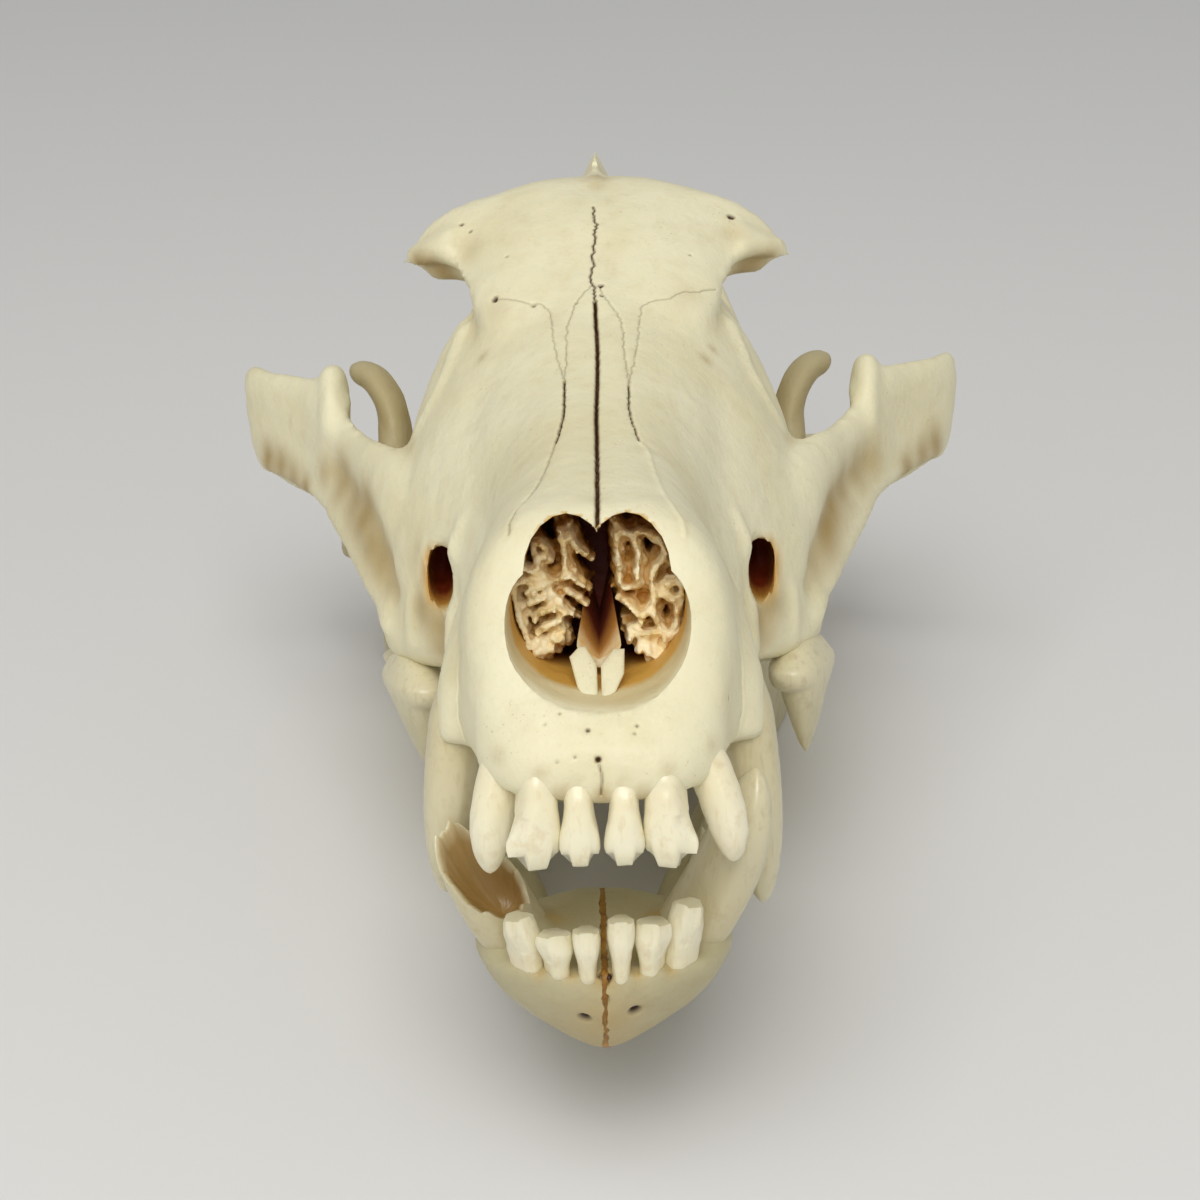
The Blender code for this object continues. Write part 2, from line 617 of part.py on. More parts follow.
def wedge(low_y, high_y, name):
    """Block between two slanted planes that lean forward as they rise."""
    body = box((-ARCH_CUT_X + GAP / 2, low_y, -FAR), (ARCH_CUT_X - GAP / 2, high_y, FAR), name)
    for vert in body.data.vertices:
        vert.co.y += FACE_CUT_SLOPE * vert.co.z
    return body


def cut_out(whole, region, name):
    """The share of the whole that lies in a region, as a body of its own."""
    piece = bpy.data.objects.new(name, whole.data.copy())
    bpy.context.scene.collection.objects.link(piece)
    combine(piece, [region], "INTERSECT")
    keep_largest(piece)
    return piece


def divided_cranium(whole):
    """Muzzle, braincase and two cheek arches, with a thin gap at each cut."""
    muzzle = cut_out(whole, wedge(-FAR, FACE_CUT_Y - GAP / 2, "front"), "muzzle")
    braincase = cut_out(whole, wedge(FACE_CUT_Y + GAP / 2, FAR * 2, "back"), "braincase")
    outer = ARCH_CUT_X + GAP / 2
    left = cut_out(whole, box((outer, -FAR, -FAR), (FAR, FAR, FAR), "left"), "cheek_arch_left")
    right = cut_out(whole, box((-FAR, -FAR, -FAR), (-outer, FAR, FAR), "right"), "cheek_arch_right")
    remove([whole])
    return muzzle, braincase, left, right


# Lower jaw

# rows: x, y, top, bottom, half thickness, lean
JAW_BODY = [
    (10.2, 22.0, -13.0, -21.6, 4.4, 4.0),
    (11.2, 31.0, -13.2, -25.0, 4.4, 4.0),
    (12.0, 40.0, -13.0, -28.0, 4.4, 3.2),
    (14.0, 52.0, -12.4, -30.2, 4.3, 2.2),
    (17.6, 70.0, -12.0, -32.0, 4.4, 1.6),
    (20.8, 90.0, -11.6, -33.6, 4.5, 1.2),
    (23.4, 110.0, -10.8, -35.4, 4.5, 1.2),
    (25.4, 128.0, -9.0, -36.0, 4.2, 1.4),
    (27.6, 142.0, -6.0, -35.2, 3.6, 1.6),
    (31.2, 156.0, -10.0, -33.4, 3.0, 1.8),
]

# rows as for a trunk: the two jaws' fronts grow towards each other here
CHIN = [
    (7.6, 10.0, -12.5, -19.0, -14.0, 4.0, 1.8, 0.0),
    (12.0, 16.0, -12.0, -24.6, -13.4, 4.0, 1.5, 0.0),
    (20.0, 19.0, -12.2, -30.2, -13.4, 4.0, 1.4, 0.0),
    (28.0, 20.0, -13.2, -33.2, -14.0, 3.6, 1.35, 0.0),
    (35.0, 17.6, -18.0, -34.8, -18.6, 3.0, 1.3, 0.0),
    (42.0, 14.0, -25.0, -32.6, -26.0, 2.0, 1.4, 0.0),
]

JAW_RAMUS = [
    (26.0, 131.0, -9.0, -33.0, 3.6, 1.2),
    (29.0, 143.0, 3.0, -33.5, 3.2, 1.6),
    (33.0, 154.0, 20.0, -32.2, 3.0, 2.8),
    (36.4, 164.0, 33.0, -30.8, 3.0, 3.6),
    (38.2, 173.0, 40.0, -29.5, 3.0, 2.8),
    (39.4, 180.0, 41.0, -28.0, 2.8, 1.8),
    (40.2, 185.5, 36.0, -27.0, 2.7, 1.4),
    (40.8, 189.0, 26.0, -26.0, 2.8, 1.0),
    (41.4, 192.0, 12.0, -25.0, 3.4, 0.6),
    (42.0, 197.0, 8.0, -14.0, 3.4, 0.0),
]

# the hooked top of the upright branch, which curls outwards
CORONOID_TIP = [
    (37.6, 168.0, 16.0, 9.0, 2.6),
    (38.8, 171.5, 27.0, 8.6, 2.8),
    (40.2, 175.5, 37.0, 7.6, 3.0),
    (42.2, 180.0, 45.0, 5.6, 3.0),
    (44.2, 183.0, 49.0, 3.0, 2.2),
]

JAW_CONDYLE = [
    (31.5, JAW_CONDYLE_Y + 1.6, JAW_CONDYLE_Z - 1.0, 3.2, 3.2),
    (35.5, JAW_CONDYLE_Y + 1.0, JAW_CONDYLE_Z - 0.6, 4.6, 4.6),
    (42.0, JAW_CONDYLE_Y, JAW_CONDYLE_Z, 5.2, 5.2),
    (48.5, JAW_CONDYLE_Y - 1.0, JAW_CONDYLE_Z + 0.4, 4.6, 4.6),
    (52.5, JAW_CONDYLE_Y - 1.6, JAW_CONDYLE_Z + 0.6, 3.0, 3.0),
]

JAW_ANGLE = [
    (37.0, 182.0, -21.0, 6.4, 2.8),
    (38.2, 191.0, -21.0, 6.0, 3.0),
    (39.2, 199.0, -20.5, 4.6, 3.0),
    (39.8, 205.0, -18.5, 3.2, 2.4),
    (40.0, 209.0, -16.0, 1.4, 1.4),
]

SYMPHYSIS_GAP = 0.5


def open_jaw(body):
    """Turn a lower jaw about its joint, and a little sideways, as the photographed one hangs."""
    hinge = Matrix.Translation((0.0, JAW_CONDYLE_Y, JAW_CONDYLE_Z))
    swing = hinge @ Matrix.Rotation(JAW_OPENING, 4, "X") @ hinge.inverted()
    pivot = Matrix.Translation((0.0, JAW_YAW_PIVOT_Y, 0.0))
    body.data.transform(pivot @ Matrix.Rotation(JAW_YAW, 4, "Z") @ pivot.inverted() @ swing)


def side_table(table, side):
    """A station table on the named side."""
    return table if side > 0 else mirrored(table)


def jaw_bone(side, name):
    """One lower jaw bone: body, upright branch, joint head and hooked corner."""
    forms = [trunk(CHIN, "chin"), strap(side_table(JAW_BODY, side), "body", 40, 3.0),
             strap(side_table(JAW_RAMUS, side), "ramus", 40),
             horn(side_table(CORONOID_TIP, side), "coronoid"),
             horn(side_table(JAW_CONDYLE, side), "head"),
             horn(side_table(JAW_ANGLE, side), "angle", along=(0.0, 0.0, 1.0))]
    bone = joined(forms, name)
    grow_together(bone, VOXEL, ROUNDING_STEPS - 1)
    inner = side * SYMPHYSIS_GAP / 2
    region = box((min(inner, side * FAR), -FAR, -FAR), (max(inner, side * FAR), FAR, FAR), "half")
    thin_out(bone, JAW_FACES)
    combine(bone, [region], "INTERSECT")
    return bone


def lower_jaw(side, name, draw):
    """A jaw bone with its teeth fused in, opened at the joint."""
    bone = jaw_bone(side, name)
    combine(bone, tooth_row(LOWER_TEETH, side, draw, broken_canine=side < 0), "UNION")
    keep_largest(bone)
    open_jaw(bone)
    return bone


def joint_clearance():
    """The jaw joint heads, swollen by the gap, to hollow the sockets that hold them."""
    swollen = []
    for side in (1, -1):
        rows = np.array(JAW_CONDYLE)
        rows[:, 3:] += GAP + 0.15
        rows[0, 0] -= 1.0
        rows[-1, 0] += 1.0
        head = horn(side_table(rows, side), "clearance", sides=18)
        open_jaw(head)
        swollen.append(head)
    return swollen


# Inside the nose

SCROLL_ROWS = 4
SCROLL_STEP = 3.9
SCROLL_LOWEST = 20.0
SCROLL_TOP = 32.5
SCROLL_LEAN = 0.8
SCROLL_WALL = 0.55
SCROLL_REACH = 6.2
SCROLL_ROOT_X = 9.4
SCROLL_CURL = 2.6
NOSE_FRONT = 18.0
NOSE_BACK = 50.0
NOSE_CLEARANCE = 0.6
SCROLL_VOXEL = 0.45
SCROLL_FACES = 640


def scroll_sheet(side, z, lean, name):
    """One scrolled bone leaf: it runs in from the side wall, then curls down on itself."""
    turn = np.linspace(0, 1, 8)
    x = SCROLL_ROOT_X - SCROLL_REACH * np.sin(np.pi * 0.66 * turn)
    drop = lean * turn - SCROLL_CURL * turn**2
    outline = np.stack([x, z + drop], axis=-1)
    run = np.gradient(outline, axis=0)
    run = run / np.linalg.norm(run, axis=1, keepdims=True)
    normal = np.stack([-run[:, 1], run[:, 0]], axis=-1) * SCROLL_WALL
    loop = np.concatenate([outline + normal, (outline - normal)[::-1]])
    rings = [np.stack([side * loop[:, 0], np.full(len(loop), y), loop[:, 1]], axis=-1)
             for y in np.linspace(NOSE_FRONT, NOSE_BACK, 3)]
    return skin(rings, name)


def nose_passage():
    """The nasal cavity less the clearance that the thin bones in it keep."""
    passage = np.array(NOSE_HOLE)
    passage[:, 1] -= NOSE_CLEARANCE
    passage[:, 2] -= NOSE_CLEARANCE
    passage[:, 3] += NOSE_CLEARANCE
    return trunk(passage, "passage")


def turbinates(side, name):
    """The scrolled leaves of one nasal passage, held together by their outer wall."""
    wall = [(side * x, y, SCROLL_TOP, SCROLL_LOWEST, SCROLL_WALL + 0.2, 0.0)
            for x, y in ((SCROLL_ROOT_X, NOSE_FRONT + 1), (SCROLL_ROOT_X - 0.7, NOSE_BACK - 1))]
    leaves = []
    for number in range(SCROLL_ROWS):
        lean = SCROLL_LEAN if number % 2 == 0 else -SCROLL_LEAN
        leaves.append(scroll_sheet(side, SCROLL_LOWEST + 0.6 + number * SCROLL_STEP, lean, f"leaf_{number}"))
    body = joined([strap(wall, "wall", 6, 2.6, 12)] + leaves, name)
    grow_together(body, SCROLL_VOXEL, 1)
    thin_out(body, SCROLL_FACES)
    keep_largest(body)
    return body


# rows: x, y, top, bottom, half thickness, lean
VOMER = [
    (0.0, 14.0, 17.0, 12.0, 2.6, 0.0),
    (0.0, 24.0, 24.0, 12.0, 1.6, 0.0),
    (0.0, 34.0, 29.0, 12.0, 1.0, 0.0),
    (0.0, 56.0, 32.0, 12.0, 0.8, 0.0),
]


def nasal_blade(name):
    """The upright middle blade of the nose, standing in the floor of the cavity."""
    body = strap(VOMER, name, 12)
    combine(body, [nose_passage()], "INTERSECT")
    keep_largest(body)
    return body


def stand_flat(body):
    """Small flats where a jaw touches the floor."""
    for vert in body.data.vertices:
        vert.co.z = max(vert.co.z, 0.0)


def finish_piece(body, colour, place):
    """Settle a piece in the world: tipped, lifted, in metres, with its own material."""
    body.data.transform(place)
    stand_flat(body)
    body.data.materials.clear()
    body.data.materials.append(material(body.name + "_bone", colour, BONE_ROUGHNESS))
    body.data.shade_smooth()
    body.data.set_sharp_from_angle(angle=SHARP_ANGLE)


def rest_placement():
    """From the skull's frame in millimetres to the world in metres."""
    tip = Matrix.Rotation(-REST_TILT, 4, "X")
    move = Matrix.Translation((0.0, -REST_BACK, REST_LIFT))
    return Matrix.Scale(0.001, 4) @ move @ tip


def build():
    """The whole skull, one object for each part that is named."""
    for old in list(bpy.data.objects):
        bpy.data.objects.remove(old, do_unlink=True)
    draw = np.random.default_rng(SEED)
    muzzle, braincase, arch_left, arch_right = divided_cranium(whole_cranium())
    combine(muzzle, tooth_row(UPPER_TEETH, 1, draw) + tooth_row(UPPER_TEETH, -1, draw), "UNION")
    keep_largest(muzzle)
    for socket in (braincase, arch_left, arch_right):
        combine(socket, joint_clearance(), "DIFFERENCE")
        keep_largest(socket)
    jaw_left = lower_jaw(1, "lower_jaw_left", draw)
    jaw_right = lower_jaw(-1, "lower_jaw_right", draw)
    scrolls_left = turbinates(1, "nasal_scrolls_left")
    scrolls_right = turbinates(-1, "nasal_scrolls_right")
    blade = nasal_blade("nasal_blade")
    place = rest_placement()
    for body in (muzzle, braincase, arch_left, arch_right):
        finish_piece(body, BONE, place)
    for body in (jaw_left, jaw_right):
        finish_piece(body, JAW_BONE, place)
    for body in (scrolls_left, scrolls_right, blade):
        finish_piece(body, SCROLL_BONE, place)


build()
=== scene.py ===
"""Looks of a dry wolf skull that lies on its lower jaws with its nose raised."""
import math

import bmesh
import bpy
import numpy as np
from mathutils import Matrix
from mathutils.bvhtree import BVHTree


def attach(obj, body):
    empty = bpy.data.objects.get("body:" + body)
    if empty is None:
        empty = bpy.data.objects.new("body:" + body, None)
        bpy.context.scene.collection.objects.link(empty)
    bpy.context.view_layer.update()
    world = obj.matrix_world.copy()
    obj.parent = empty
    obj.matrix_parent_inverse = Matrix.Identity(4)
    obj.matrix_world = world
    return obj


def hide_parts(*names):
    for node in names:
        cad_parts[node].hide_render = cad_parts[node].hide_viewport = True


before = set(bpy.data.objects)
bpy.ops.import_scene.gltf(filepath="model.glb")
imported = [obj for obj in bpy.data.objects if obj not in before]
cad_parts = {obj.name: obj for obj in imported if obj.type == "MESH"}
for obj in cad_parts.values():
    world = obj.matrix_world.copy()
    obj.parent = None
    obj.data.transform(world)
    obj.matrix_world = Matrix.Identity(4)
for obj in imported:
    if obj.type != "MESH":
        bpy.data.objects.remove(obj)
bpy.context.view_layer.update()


# Upper skull
# One shell of dry, cleaned bone that grew from many separate bones. It is laid out in the skull's
# own frame in millimetres: x to the animal's left, y back from the front teeth, z up from the cheek
# teeth. Overlapping skins are fused on a fine grid, hollowed, and tipped onto the floor.

ARCH_WIDTH = 142.5
BRAINCASE_WIDTH = 66.0
FOREHEAD_WIDTH = 69.0
CREST_HEIGHT = 88.0
FOREHEAD_HEIGHT = 84.0
INION_Y = 266.0
NASAL_TIP_Y = 21.5
NASAL_TIP_Z = 39.5
GRID = 1.2
SIDES = 44

REST_TILT = math.radians(14.9)
REST_FORWARD = 137.0
REST_RISE = 74.0
SKULL_TO_WORLD = (Matrix.Scale(0.001, 4) @ Matrix.Translation((0.0, -REST_FORWARD, REST_RISE))
                  @ Matrix.Rotation(-REST_TILT, 4, "X"))

# trunks: y, half width, top, bottom, height of the widest place, upper power, lower power, hollow
SNOUT = [
    (-0.6, 9.0, 8.0, 0.5, 4.0, 2.2, 2.0, 0.0),
    (2.5, 14.0, 12.0, -0.6, 5.0, 2.6, 2.6, 0.6),
    (7.5, 17.6, 18.0, -0.8, 6.0, 3.2, 3.2, 1.5),
    (13.0, 19.2, 28.0, -0.5, 8.0, 3.6, 2.8, 2.5),
    (NASAL_TIP_Y - 2.0, 20.8, NASAL_TIP_Z, 0.0, 9.0, 3.2, 2.8, 3.0),
    (32.0, 21.8, 42.5, 0.0, 9.0, 2.7, 4.0, 3.5),
    (46.0, 20.5, 45.0, 0.0, 9.0, 2.5, 4.0, 4.0),
    (60.0, 20.6, 48.0, 0.0, 10.0, 2.4, 4.0, 4.5),
    (74.0, 23.5, 52.0, 0.0, 12.0, 2.2, 4.0, 5.0),
    (88.0, 31.0, 57.0, -1.0, 12.0, 2.0, 4.0, 6.5),
    (101.0, 38.2, 63.0, -3.0, 10.0, 1.85, 4.0, 8.0),
    (113.0, 39.6, 70.0, -2.6, 12.0, 1.8, 4.0, 7.5),
    (123.0, 36.5, 76.5, -0.5, 24.0, 1.8, 3.6, 5.5),
    (129.0, 33.0, 78.0, 5.0, 28.0, 1.8, 2.6, 3.0),
]

FOREHEAD = [
    (100.0, 16.0, 61.0, 45.0, 53.0, 2.0, 1.4, 0.0),
    (114.0, 22.0, 70.5, 52.0, 62.0, 2.0, 1.4, 0.0),
    (123.0, 24.0, 77.0, 55.0, 66.0, 2.0, 1.3, 0.0),
    (129.0, 26.4, 80.4, 57.0, 68.5, 2.0, 1.2, 0.0),
    (134.0, 30.4, 82.6, 58.0, 69.8, 2.0, 1.2, 0.0),
    (138.0, FOREHEAD_WIDTH / 2, FOREHEAD_HEIGHT, 59.0, 70.5, 2.0, 1.15, 0.0),
    (142.0, 31.5, FOREHEAD_HEIGHT + 0.6, 59.0, 70.5, 2.0, 1.2, 0.0),
    (150.0, 25.0, FOREHEAD_HEIGHT + 0.5, 57.0, 70.0, 1.9, 1.4, 0.0),
    (162.0, 20.0, FOREHEAD_HEIGHT - 1.5, 54.0, 68.0, 1.7, 1.8, 0.0),
    (176.0, 18.0, 78.0, 52.0, 64.0, 1.7, 2.0, 0.0),
]

BRAINCASE = [
    (112.0, 20.0, 66.0, 12.0, 42.0, 2.4, 3.0, 0.0),
    (130.0, 18.5, 74.0, 15.0, 52.0, 2.2, 2.6, 0.0),
    (148.0, 18.5, 76.0, 18.0, 55.0, 2.2, 2.4, 0.0),
    (164.0, 19.0, 74.0, 21.0, 50.0, 2.1, 2.2, 0.0),
    (178.0, 24.5, 74.0, 20.0, 43.0, 1.9, 2.4, 0.0),
    (192.0, 30.5, 74.5, 17.0, 40.0, 1.7, 2.6, 0.0),
    (208.0, BRAINCASE_WIDTH / 2, 74.5, 15.0, 38.0, 1.6, 2.8, 0.0),
    (224.0, BRAINCASE_WIDTH / 2 - 0.5, 73.0, 15.0, 38.0, 1.6, 2.8, 0.0),
    (236.0, 29.0, 70.0, 17.0, 39.0, 1.8, 2.6, 0.0),
    (245.0, 20.0, 62.0, 24.0, 42.0, 2.0, 2.2, 0.0),
]

# an upper power below one makes the crest's flanks concave
CREST = [
    (146.0, 7.0, 84.6, 66.0, 74.0, 1.0, 1.0, 0.0),
    (156.0, 9.6, CREST_HEIGHT - 1.2, 60.0, 71.0, 0.96, 1.0, 0.0),
    (168.0, 11.0, CREST_HEIGHT + 0.4, 58.0, 69.0, 0.94, 1.0, 0.0),
    (184.0, 12.5, CREST_HEIGHT + 0.4, 58.0, 69.0, 0.74, 1.0, 0.0),
    (204.0, 15.0, CREST_HEIGHT + 0.2, 58.0, 68.5, 0.54, 1.0, 0.0),
    (228.0, 17.0, CREST_HEIGHT - 1.6, 58.0, 67.5, 0.52, 1.0, 0.0),
    (248.0, 14.0, CREST_HEIGHT - 3.4, 58.0, 66.0, 0.56, 1.0, 0.0),
    (260.0, 8.0, CREST_HEIGHT - 6.0, 66.0, 72.0, 0.7, 1.0, 0.0),
    (INION_Y - 1.4, 2.6, CREST_HEIGHT - 9.0, 74.0, 77.0, 1.4, 1.4, 0.0),
]

OCCIPUT = [
    (228.0, 28.0, 68.0, 24.0, 42.0, 1.9, 2.0, 0.0),
    (240.0, 27.0, 70.0, 32.0, 48.0, 1.7, 1.6, 0.0),
    (250.0, 20.0, 73.0, 46.0, 60.0, 1.6, 1.3, 0.0),
    (258.0, 12.0, 76.0, 60.0, 69.0, 1.5, 1.2, 0.0),
    (INION_Y - 2.4, 4.0, 78.0, 72.0, 75.0, 1.5, 1.5, 0.0),
]

SKULL_BASE = [
    (160.0, 8.0, 30.0, 16.0, 22.0, 2.0, 3.0, 0.0),
    (180.0, 11.0, 30.0, 14.0, 20.0, 2.0, 3.0, 0.0),
    (210.0, 12.0, 30.0, 12.5, 20.0, 2.0, 3.0, 0.0),
    (232.0, 14.0, 28.0, 13.0, 20.0, 2.0, 3.0, 0.0),
    (241.0, 15.0, 26.0, 15.0, 20.0, 2.0, 2.4, 0.0),
]

# limbs: x, y, z, half size along the named direction, half size across it
NUCHAL_CREST = [
    (2.0, INION_Y - 2.8, 77.5, 3.0, 2.4),
    (10.5, 260.0, 73.5, 4.0, 2.0),
    (19.0, 253.5, 66.0, 4.5, 1.8),
    (25.2, 245.5, 56.0, 4.5, 1.9),
    (29.5, 237.0, 44.0, 5.0, 2.4),
    (32.0, 229.0, 32.0, 6.0, 3.2),
    (32.5, 224.0, 21.0, 5.0, 3.2),
]

JUGAL_SPUR = [
    (50.4, 144.0, 35.0, 7.2, 3.0),
    (50.6, 147.0, 41.0, 6.8, 3.0),
    (50.8, 149.4, 45.0, 6.0, 2.9),
    (51.0, 150.8, 47.6, 4.8, 2.4),
    (51.2, 151.4, 49.2, 2.8, 1.4),
]

BROW_SPUR = [
    (24.0, 134.5, 72.0, 8.0, 5.6),
    (29.6, 136.3, 70.4, 5.8, 4.4),
    (33.0, 137.6, 69.0, 4.2, 3.4),
    (35.0, 138.2, 68.4, 2.8, 2.3),
    (36.2, 138.6, 68.0, 1.3, 1.2),
]

CANINE_JUGUM = [
    (20.5, 27.0, 3.0, 7.0, 4.6),
    (20.0, 30.0, 12.0, 7.0, 5.0),
    (18.0, 36.0, 22.0, 6.0, 4.2),
    (15.0, 43.0, 31.0, 4.6, 3.0),
]

JUGULAR_PROCESS = [
    (25.0, 231.0, 30.0, 6.0, 6.0),
    (27.0, 232.0, 18.0, 4.6, 5.0),
    (27.5, 233.0, 6.0, 3.2, 3.8),
    (27.0, 235.0, -6.0, 1.6, 2.0),
]

RETROARTICULAR_PROCESS = [
    (40.0, 206.8, 22.0, 3.6, 9.0),
    (39.5, 206.8, 13.0, 3.0, 8.0),
    (38.5, 206.4, 5.0, 2.0, 6.0),
    (37.5, 205.8, -1.0, 1.1, 3.0),
]

# plates: x, y, top, bottom, half thickness, lean of the top
ARCH = [
    (28.0, 101.0, 34.0, 6.0, 7.0, 0.0),
    (34.5, 109.0, 37.0, 5.0, 5.6, -0.5),
    (40.0, 119.0, 38.0, 12.0, 4.4, -1.0),
    (44.8, 130.0, 38.4, 17.5, 3.4, -1.2),
    (49.3, 140.0, 41.0, 21.0, 2.9, -0.6),
    (53.2, 148.0, 46.6, 23.4, 2.8, -0.4),
    (58.4, 157.0, 47.2, 25.0, 2.7, 0.0),
    (64.2, 166.0, 47.0, 25.6, 2.8, 0.8),
    (ARCH_WIDTH / 2 - 3.3, 175.0, 47.4, 25.4, 2.8, 1.2),
    (ARCH_WIDTH / 2 - 4.2, 184.0, 44.5, 24.0, 3.0, 0.6),
    (61.5, 192.5, 36.5, 19.0, 3.8, 0.0),
    (53.0, 197.0, 30.0, 14.5, 5.6, 0.0),
    (43.0, 199.5, 28.0, 12.0, 8.2, 0.0),
    (30.0, 200.5, 30.0, 12.0, 10.0, 0.0),
]

PTERYGOID_PLATE = [
    (11.5, 114.0, 22.0, 2.0, 2.2, 0.0),
    (10.5, 130.0, 24.0, 4.5, 1.9, 0.4),
    (9.6, 146.0, 25.0, 5.0, 1.8, 0.8),
    (9.4, 158.0, 24.0, 4.0, 1.7, 0.8),
    (9.2, 165.0, 19.0, 3.0, 1.3, 0.4),
]

TUBEROSITY = [
    (26.0, 112.0, 12.0, 0.5, 9.0, 0.0),
    (27.0, 122.0, 14.0, 0.5, 8.0, 0.0),
    (26.0, 132.0, 13.0, 1.5, 6.0, 0.0),
    (23.0, 138.0, 12.0, 5.0, 3.0, 0.0),
]

BULLA_CENTRE = (19.5, 214.0, 11.0)
BULLA_RADII = (11.0, 15.0, 12.5)
CONDYLE_CENTRE = (11.5, 238.5, 22.5)
CONDYLE_RADII = (7.5, 7.0, 9.5)
ORBIT_CENTRE = (41.5, 145.0, 49.5)
ORBIT_RADII = (20.0, 26.0, 22.0)

# hollows as limbs: the hole for the spinal cord, the back end of the nose, the opening under each
# orbit and the ear
MAGNUM = [
    (0.0, 222.0, 33.0, 6.0, 6.0),
    (0.0, 236.0, 31.0, 8.5, 8.5),
    (0.0, 258.0, 28.0, 11.0, 10.0),
]

CHOANA = [
    (0.0, 112.0, 14.0, 5.0, 5.0),
    (0.0, 124.0, 12.0, 9.0, 8.0),
    (0.0, 172.0, 12.0, 8.5, 8.0),
]

INFRAORBITAL = [
    (25.0, 74.0, 19.0, 1.6, 5.4),
    (26.4, 82.0, 19.5, 2.2, 6.2),
    (27.6, 90.0, 19.5, 2.4, 5.6),
    (29.0, 104.0, 21.0, 2.0, 3.6),
]

EAR = [
    (44.0, 212.0, 23.0, 3.4, 3.4),
    (34.0, 212.5, 22.0, 3.2, 3.2),
    (25.0, 213.0, 20.0, 2.4, 2.4),
]

# The nose opening is three hollows: a wide lower one and an arch under each nasal bone,
# so that a spike of bone hangs down between the two arches.
NOSE_HOLE = [
    (-6.0, 14.4, 32.0, 11.8, 25.0, 2.4, 2.4, 0.0),
    (8.0, 14.1, 33.0, 13.6, 25.5, 2.4, 2.3, 0.0),
    (13.0, 13.6, 34.0, 14.4, 25.5, 2.4, 2.2, 0.0),
    (18.0, 13.1, 35.0, 14.8, 26.0, 2.5, 2.2, 0.0),
    (24.0, 13.0, 36.0, 15.0, 26.0, 2.5, 2.2, 0.0),
    (36.0, 13.0, 37.6, 15.0, 26.0, 2.4, 2.2, 0.0),
    (42.0, 12.6, 38.0, 15.4, 26.0, 2.4, 2.2, 0.0),
    (45.0, 12.0, 38.0, 16.0, 26.0, 2.4, 2.2, 0.0),
]
NOSE_ARCH = [
    (4.5, 2.0, 31.6, 6.2, 7.4),
    (4.5, 14.0, 31.8, 6.4, 7.8),
    (4.4, 24.0, 32.0, 6.3, 7.9),
    (4.3, 36.0, 33.0, 5.8, 8.0),
    (4.0, 43.0, 33.5, 4.6, 6.6),
]


def stations(table, count):
    """A table carried on to `count` even steps by a cubic through every row."""
    rows = np.asarray(table, dtype=float)
    slope = np.gradient(rows, axis=0)
    along = np.linspace(0, len(rows) - 1, count)
    first = np.minimum(along.astype(int), len(rows) - 2)
    t = (along - first)[:, None]
    start = (2 * t**3 - 3 * t**2 + 1) * rows[first] + (t**3 - 2 * t**2 + t) * slope[first]
    end = (3 * t**2 - 2 * t**3) * rows[first + 1] + (t**3 - t**2) * slope[first + 1]
    return start + end


def oval(power, sides=SIDES):
    """Superellipse of half sizes 1: the cosine and sine of the angle, each to the power 2 / power."""
    angle = np.arange(sides) * 2 * np.pi / sides
    c, s = np.cos(angle), np.sin(angle)
    return np.sign(c) * np.abs(c) ** (2 / power), np.sign(s) * np.abs(s) ** (2 / power)


def trunk(table, steps=90):
    """Rings across y: at each station an upper and a lower superellipse meet at the widest height,
    and the underside is lifted along the midline by the hollow."""
    rings = []
    for y, half, top, bottom, widest, top_power, bottom_power, hollow in stations(table, steps):
        x_top, z_top = oval(top_power)
        x_low, z_low = oval(bottom_power)
        upper = z_top >= 0
        x = half * np.where(upper, x_top, x_low)
        z = widest + np.where(upper, z_top * (top - widest), z_low * (widest - bottom))
        z = z + np.where(upper, 0.0, hollow * (1 - (x / half) ** 2) * np.abs(z_low))
        rings.append(np.stack([x, np.full_like(x, y), z], axis=-1))
    return np.array(rings)


def strap(table, steps=60, power=2.6, sides=24):
    """Upright plate: at each step of a plan path a superellipse stands across the path, as high as
    the plate, as thick as twice the half thickness, sheared sideways by the lean."""
    rows = stations(table, steps)
    run = np.gradient(rows[:, :2], axis=0)
    run = run / np.linalg.norm(run, axis=1, keepdims=True)
    c, s = oval(power, sides)
    offset = rows[:, 4, None] * c + rows[:, 5, None] * s
    middle = (rows[:, 2, None] + rows[:, 3, None]) / 2
    half = (rows[:, 2, None] - rows[:, 3, None]) / 2
    return np.stack([rows[:, 0, None] + run[:, 1, None] * offset,
                     rows[:, 1, None] - run[:, 0, None] * offset,
                     middle + s * half], axis=-1)


def horn(table, steps=24, sides=20, along=(0.0, 1.0, 0.0), power=2.0):
    """Limb: at each step of a path in space an oval stands square to the path, with one half size
    towards the direction `along` and the other across it."""
    rows = stations(table, steps)
    run = np.gradient(rows[:, :3], axis=0)
    run = run / np.linalg.norm(run, axis=1, keepdims=True)
    side = np.cross(run, np.asarray(along, dtype=float))
    side = side / np.linalg.norm(side, axis=1, keepdims=True)
    front = np.cross(side, run)
    c, s = oval(power, sides)
    return (rows[:, None, :3] + front[:, None] * rows[:, 3, None, None] * c[:, None]
            + side[:, None] * rows[:, 4, None, None] * s[:, None])


def ball(centre, radii, steps=28):
    """Ellipsoid as rings: latitude runs from pole to pole, and each ring is a round of that radius."""
    latitude = np.linspace(-0.497, 0.497, steps) * np.pi
    c, s = oval(2.0, 36)
    unit = np.stack([np.cos(latitude)[:, None] * c, np.cos(latitude)[:, None] * s,
                     np.sin(latitude)[:, None] + 0 * c], axis=-1)
    return np.asarray(centre) + unit * np.asarray(radii)


def other_side(rings):
    """The same rings mirrored across the midline."""
    return rings * np.array((-1.0, 1.0, 1.0))


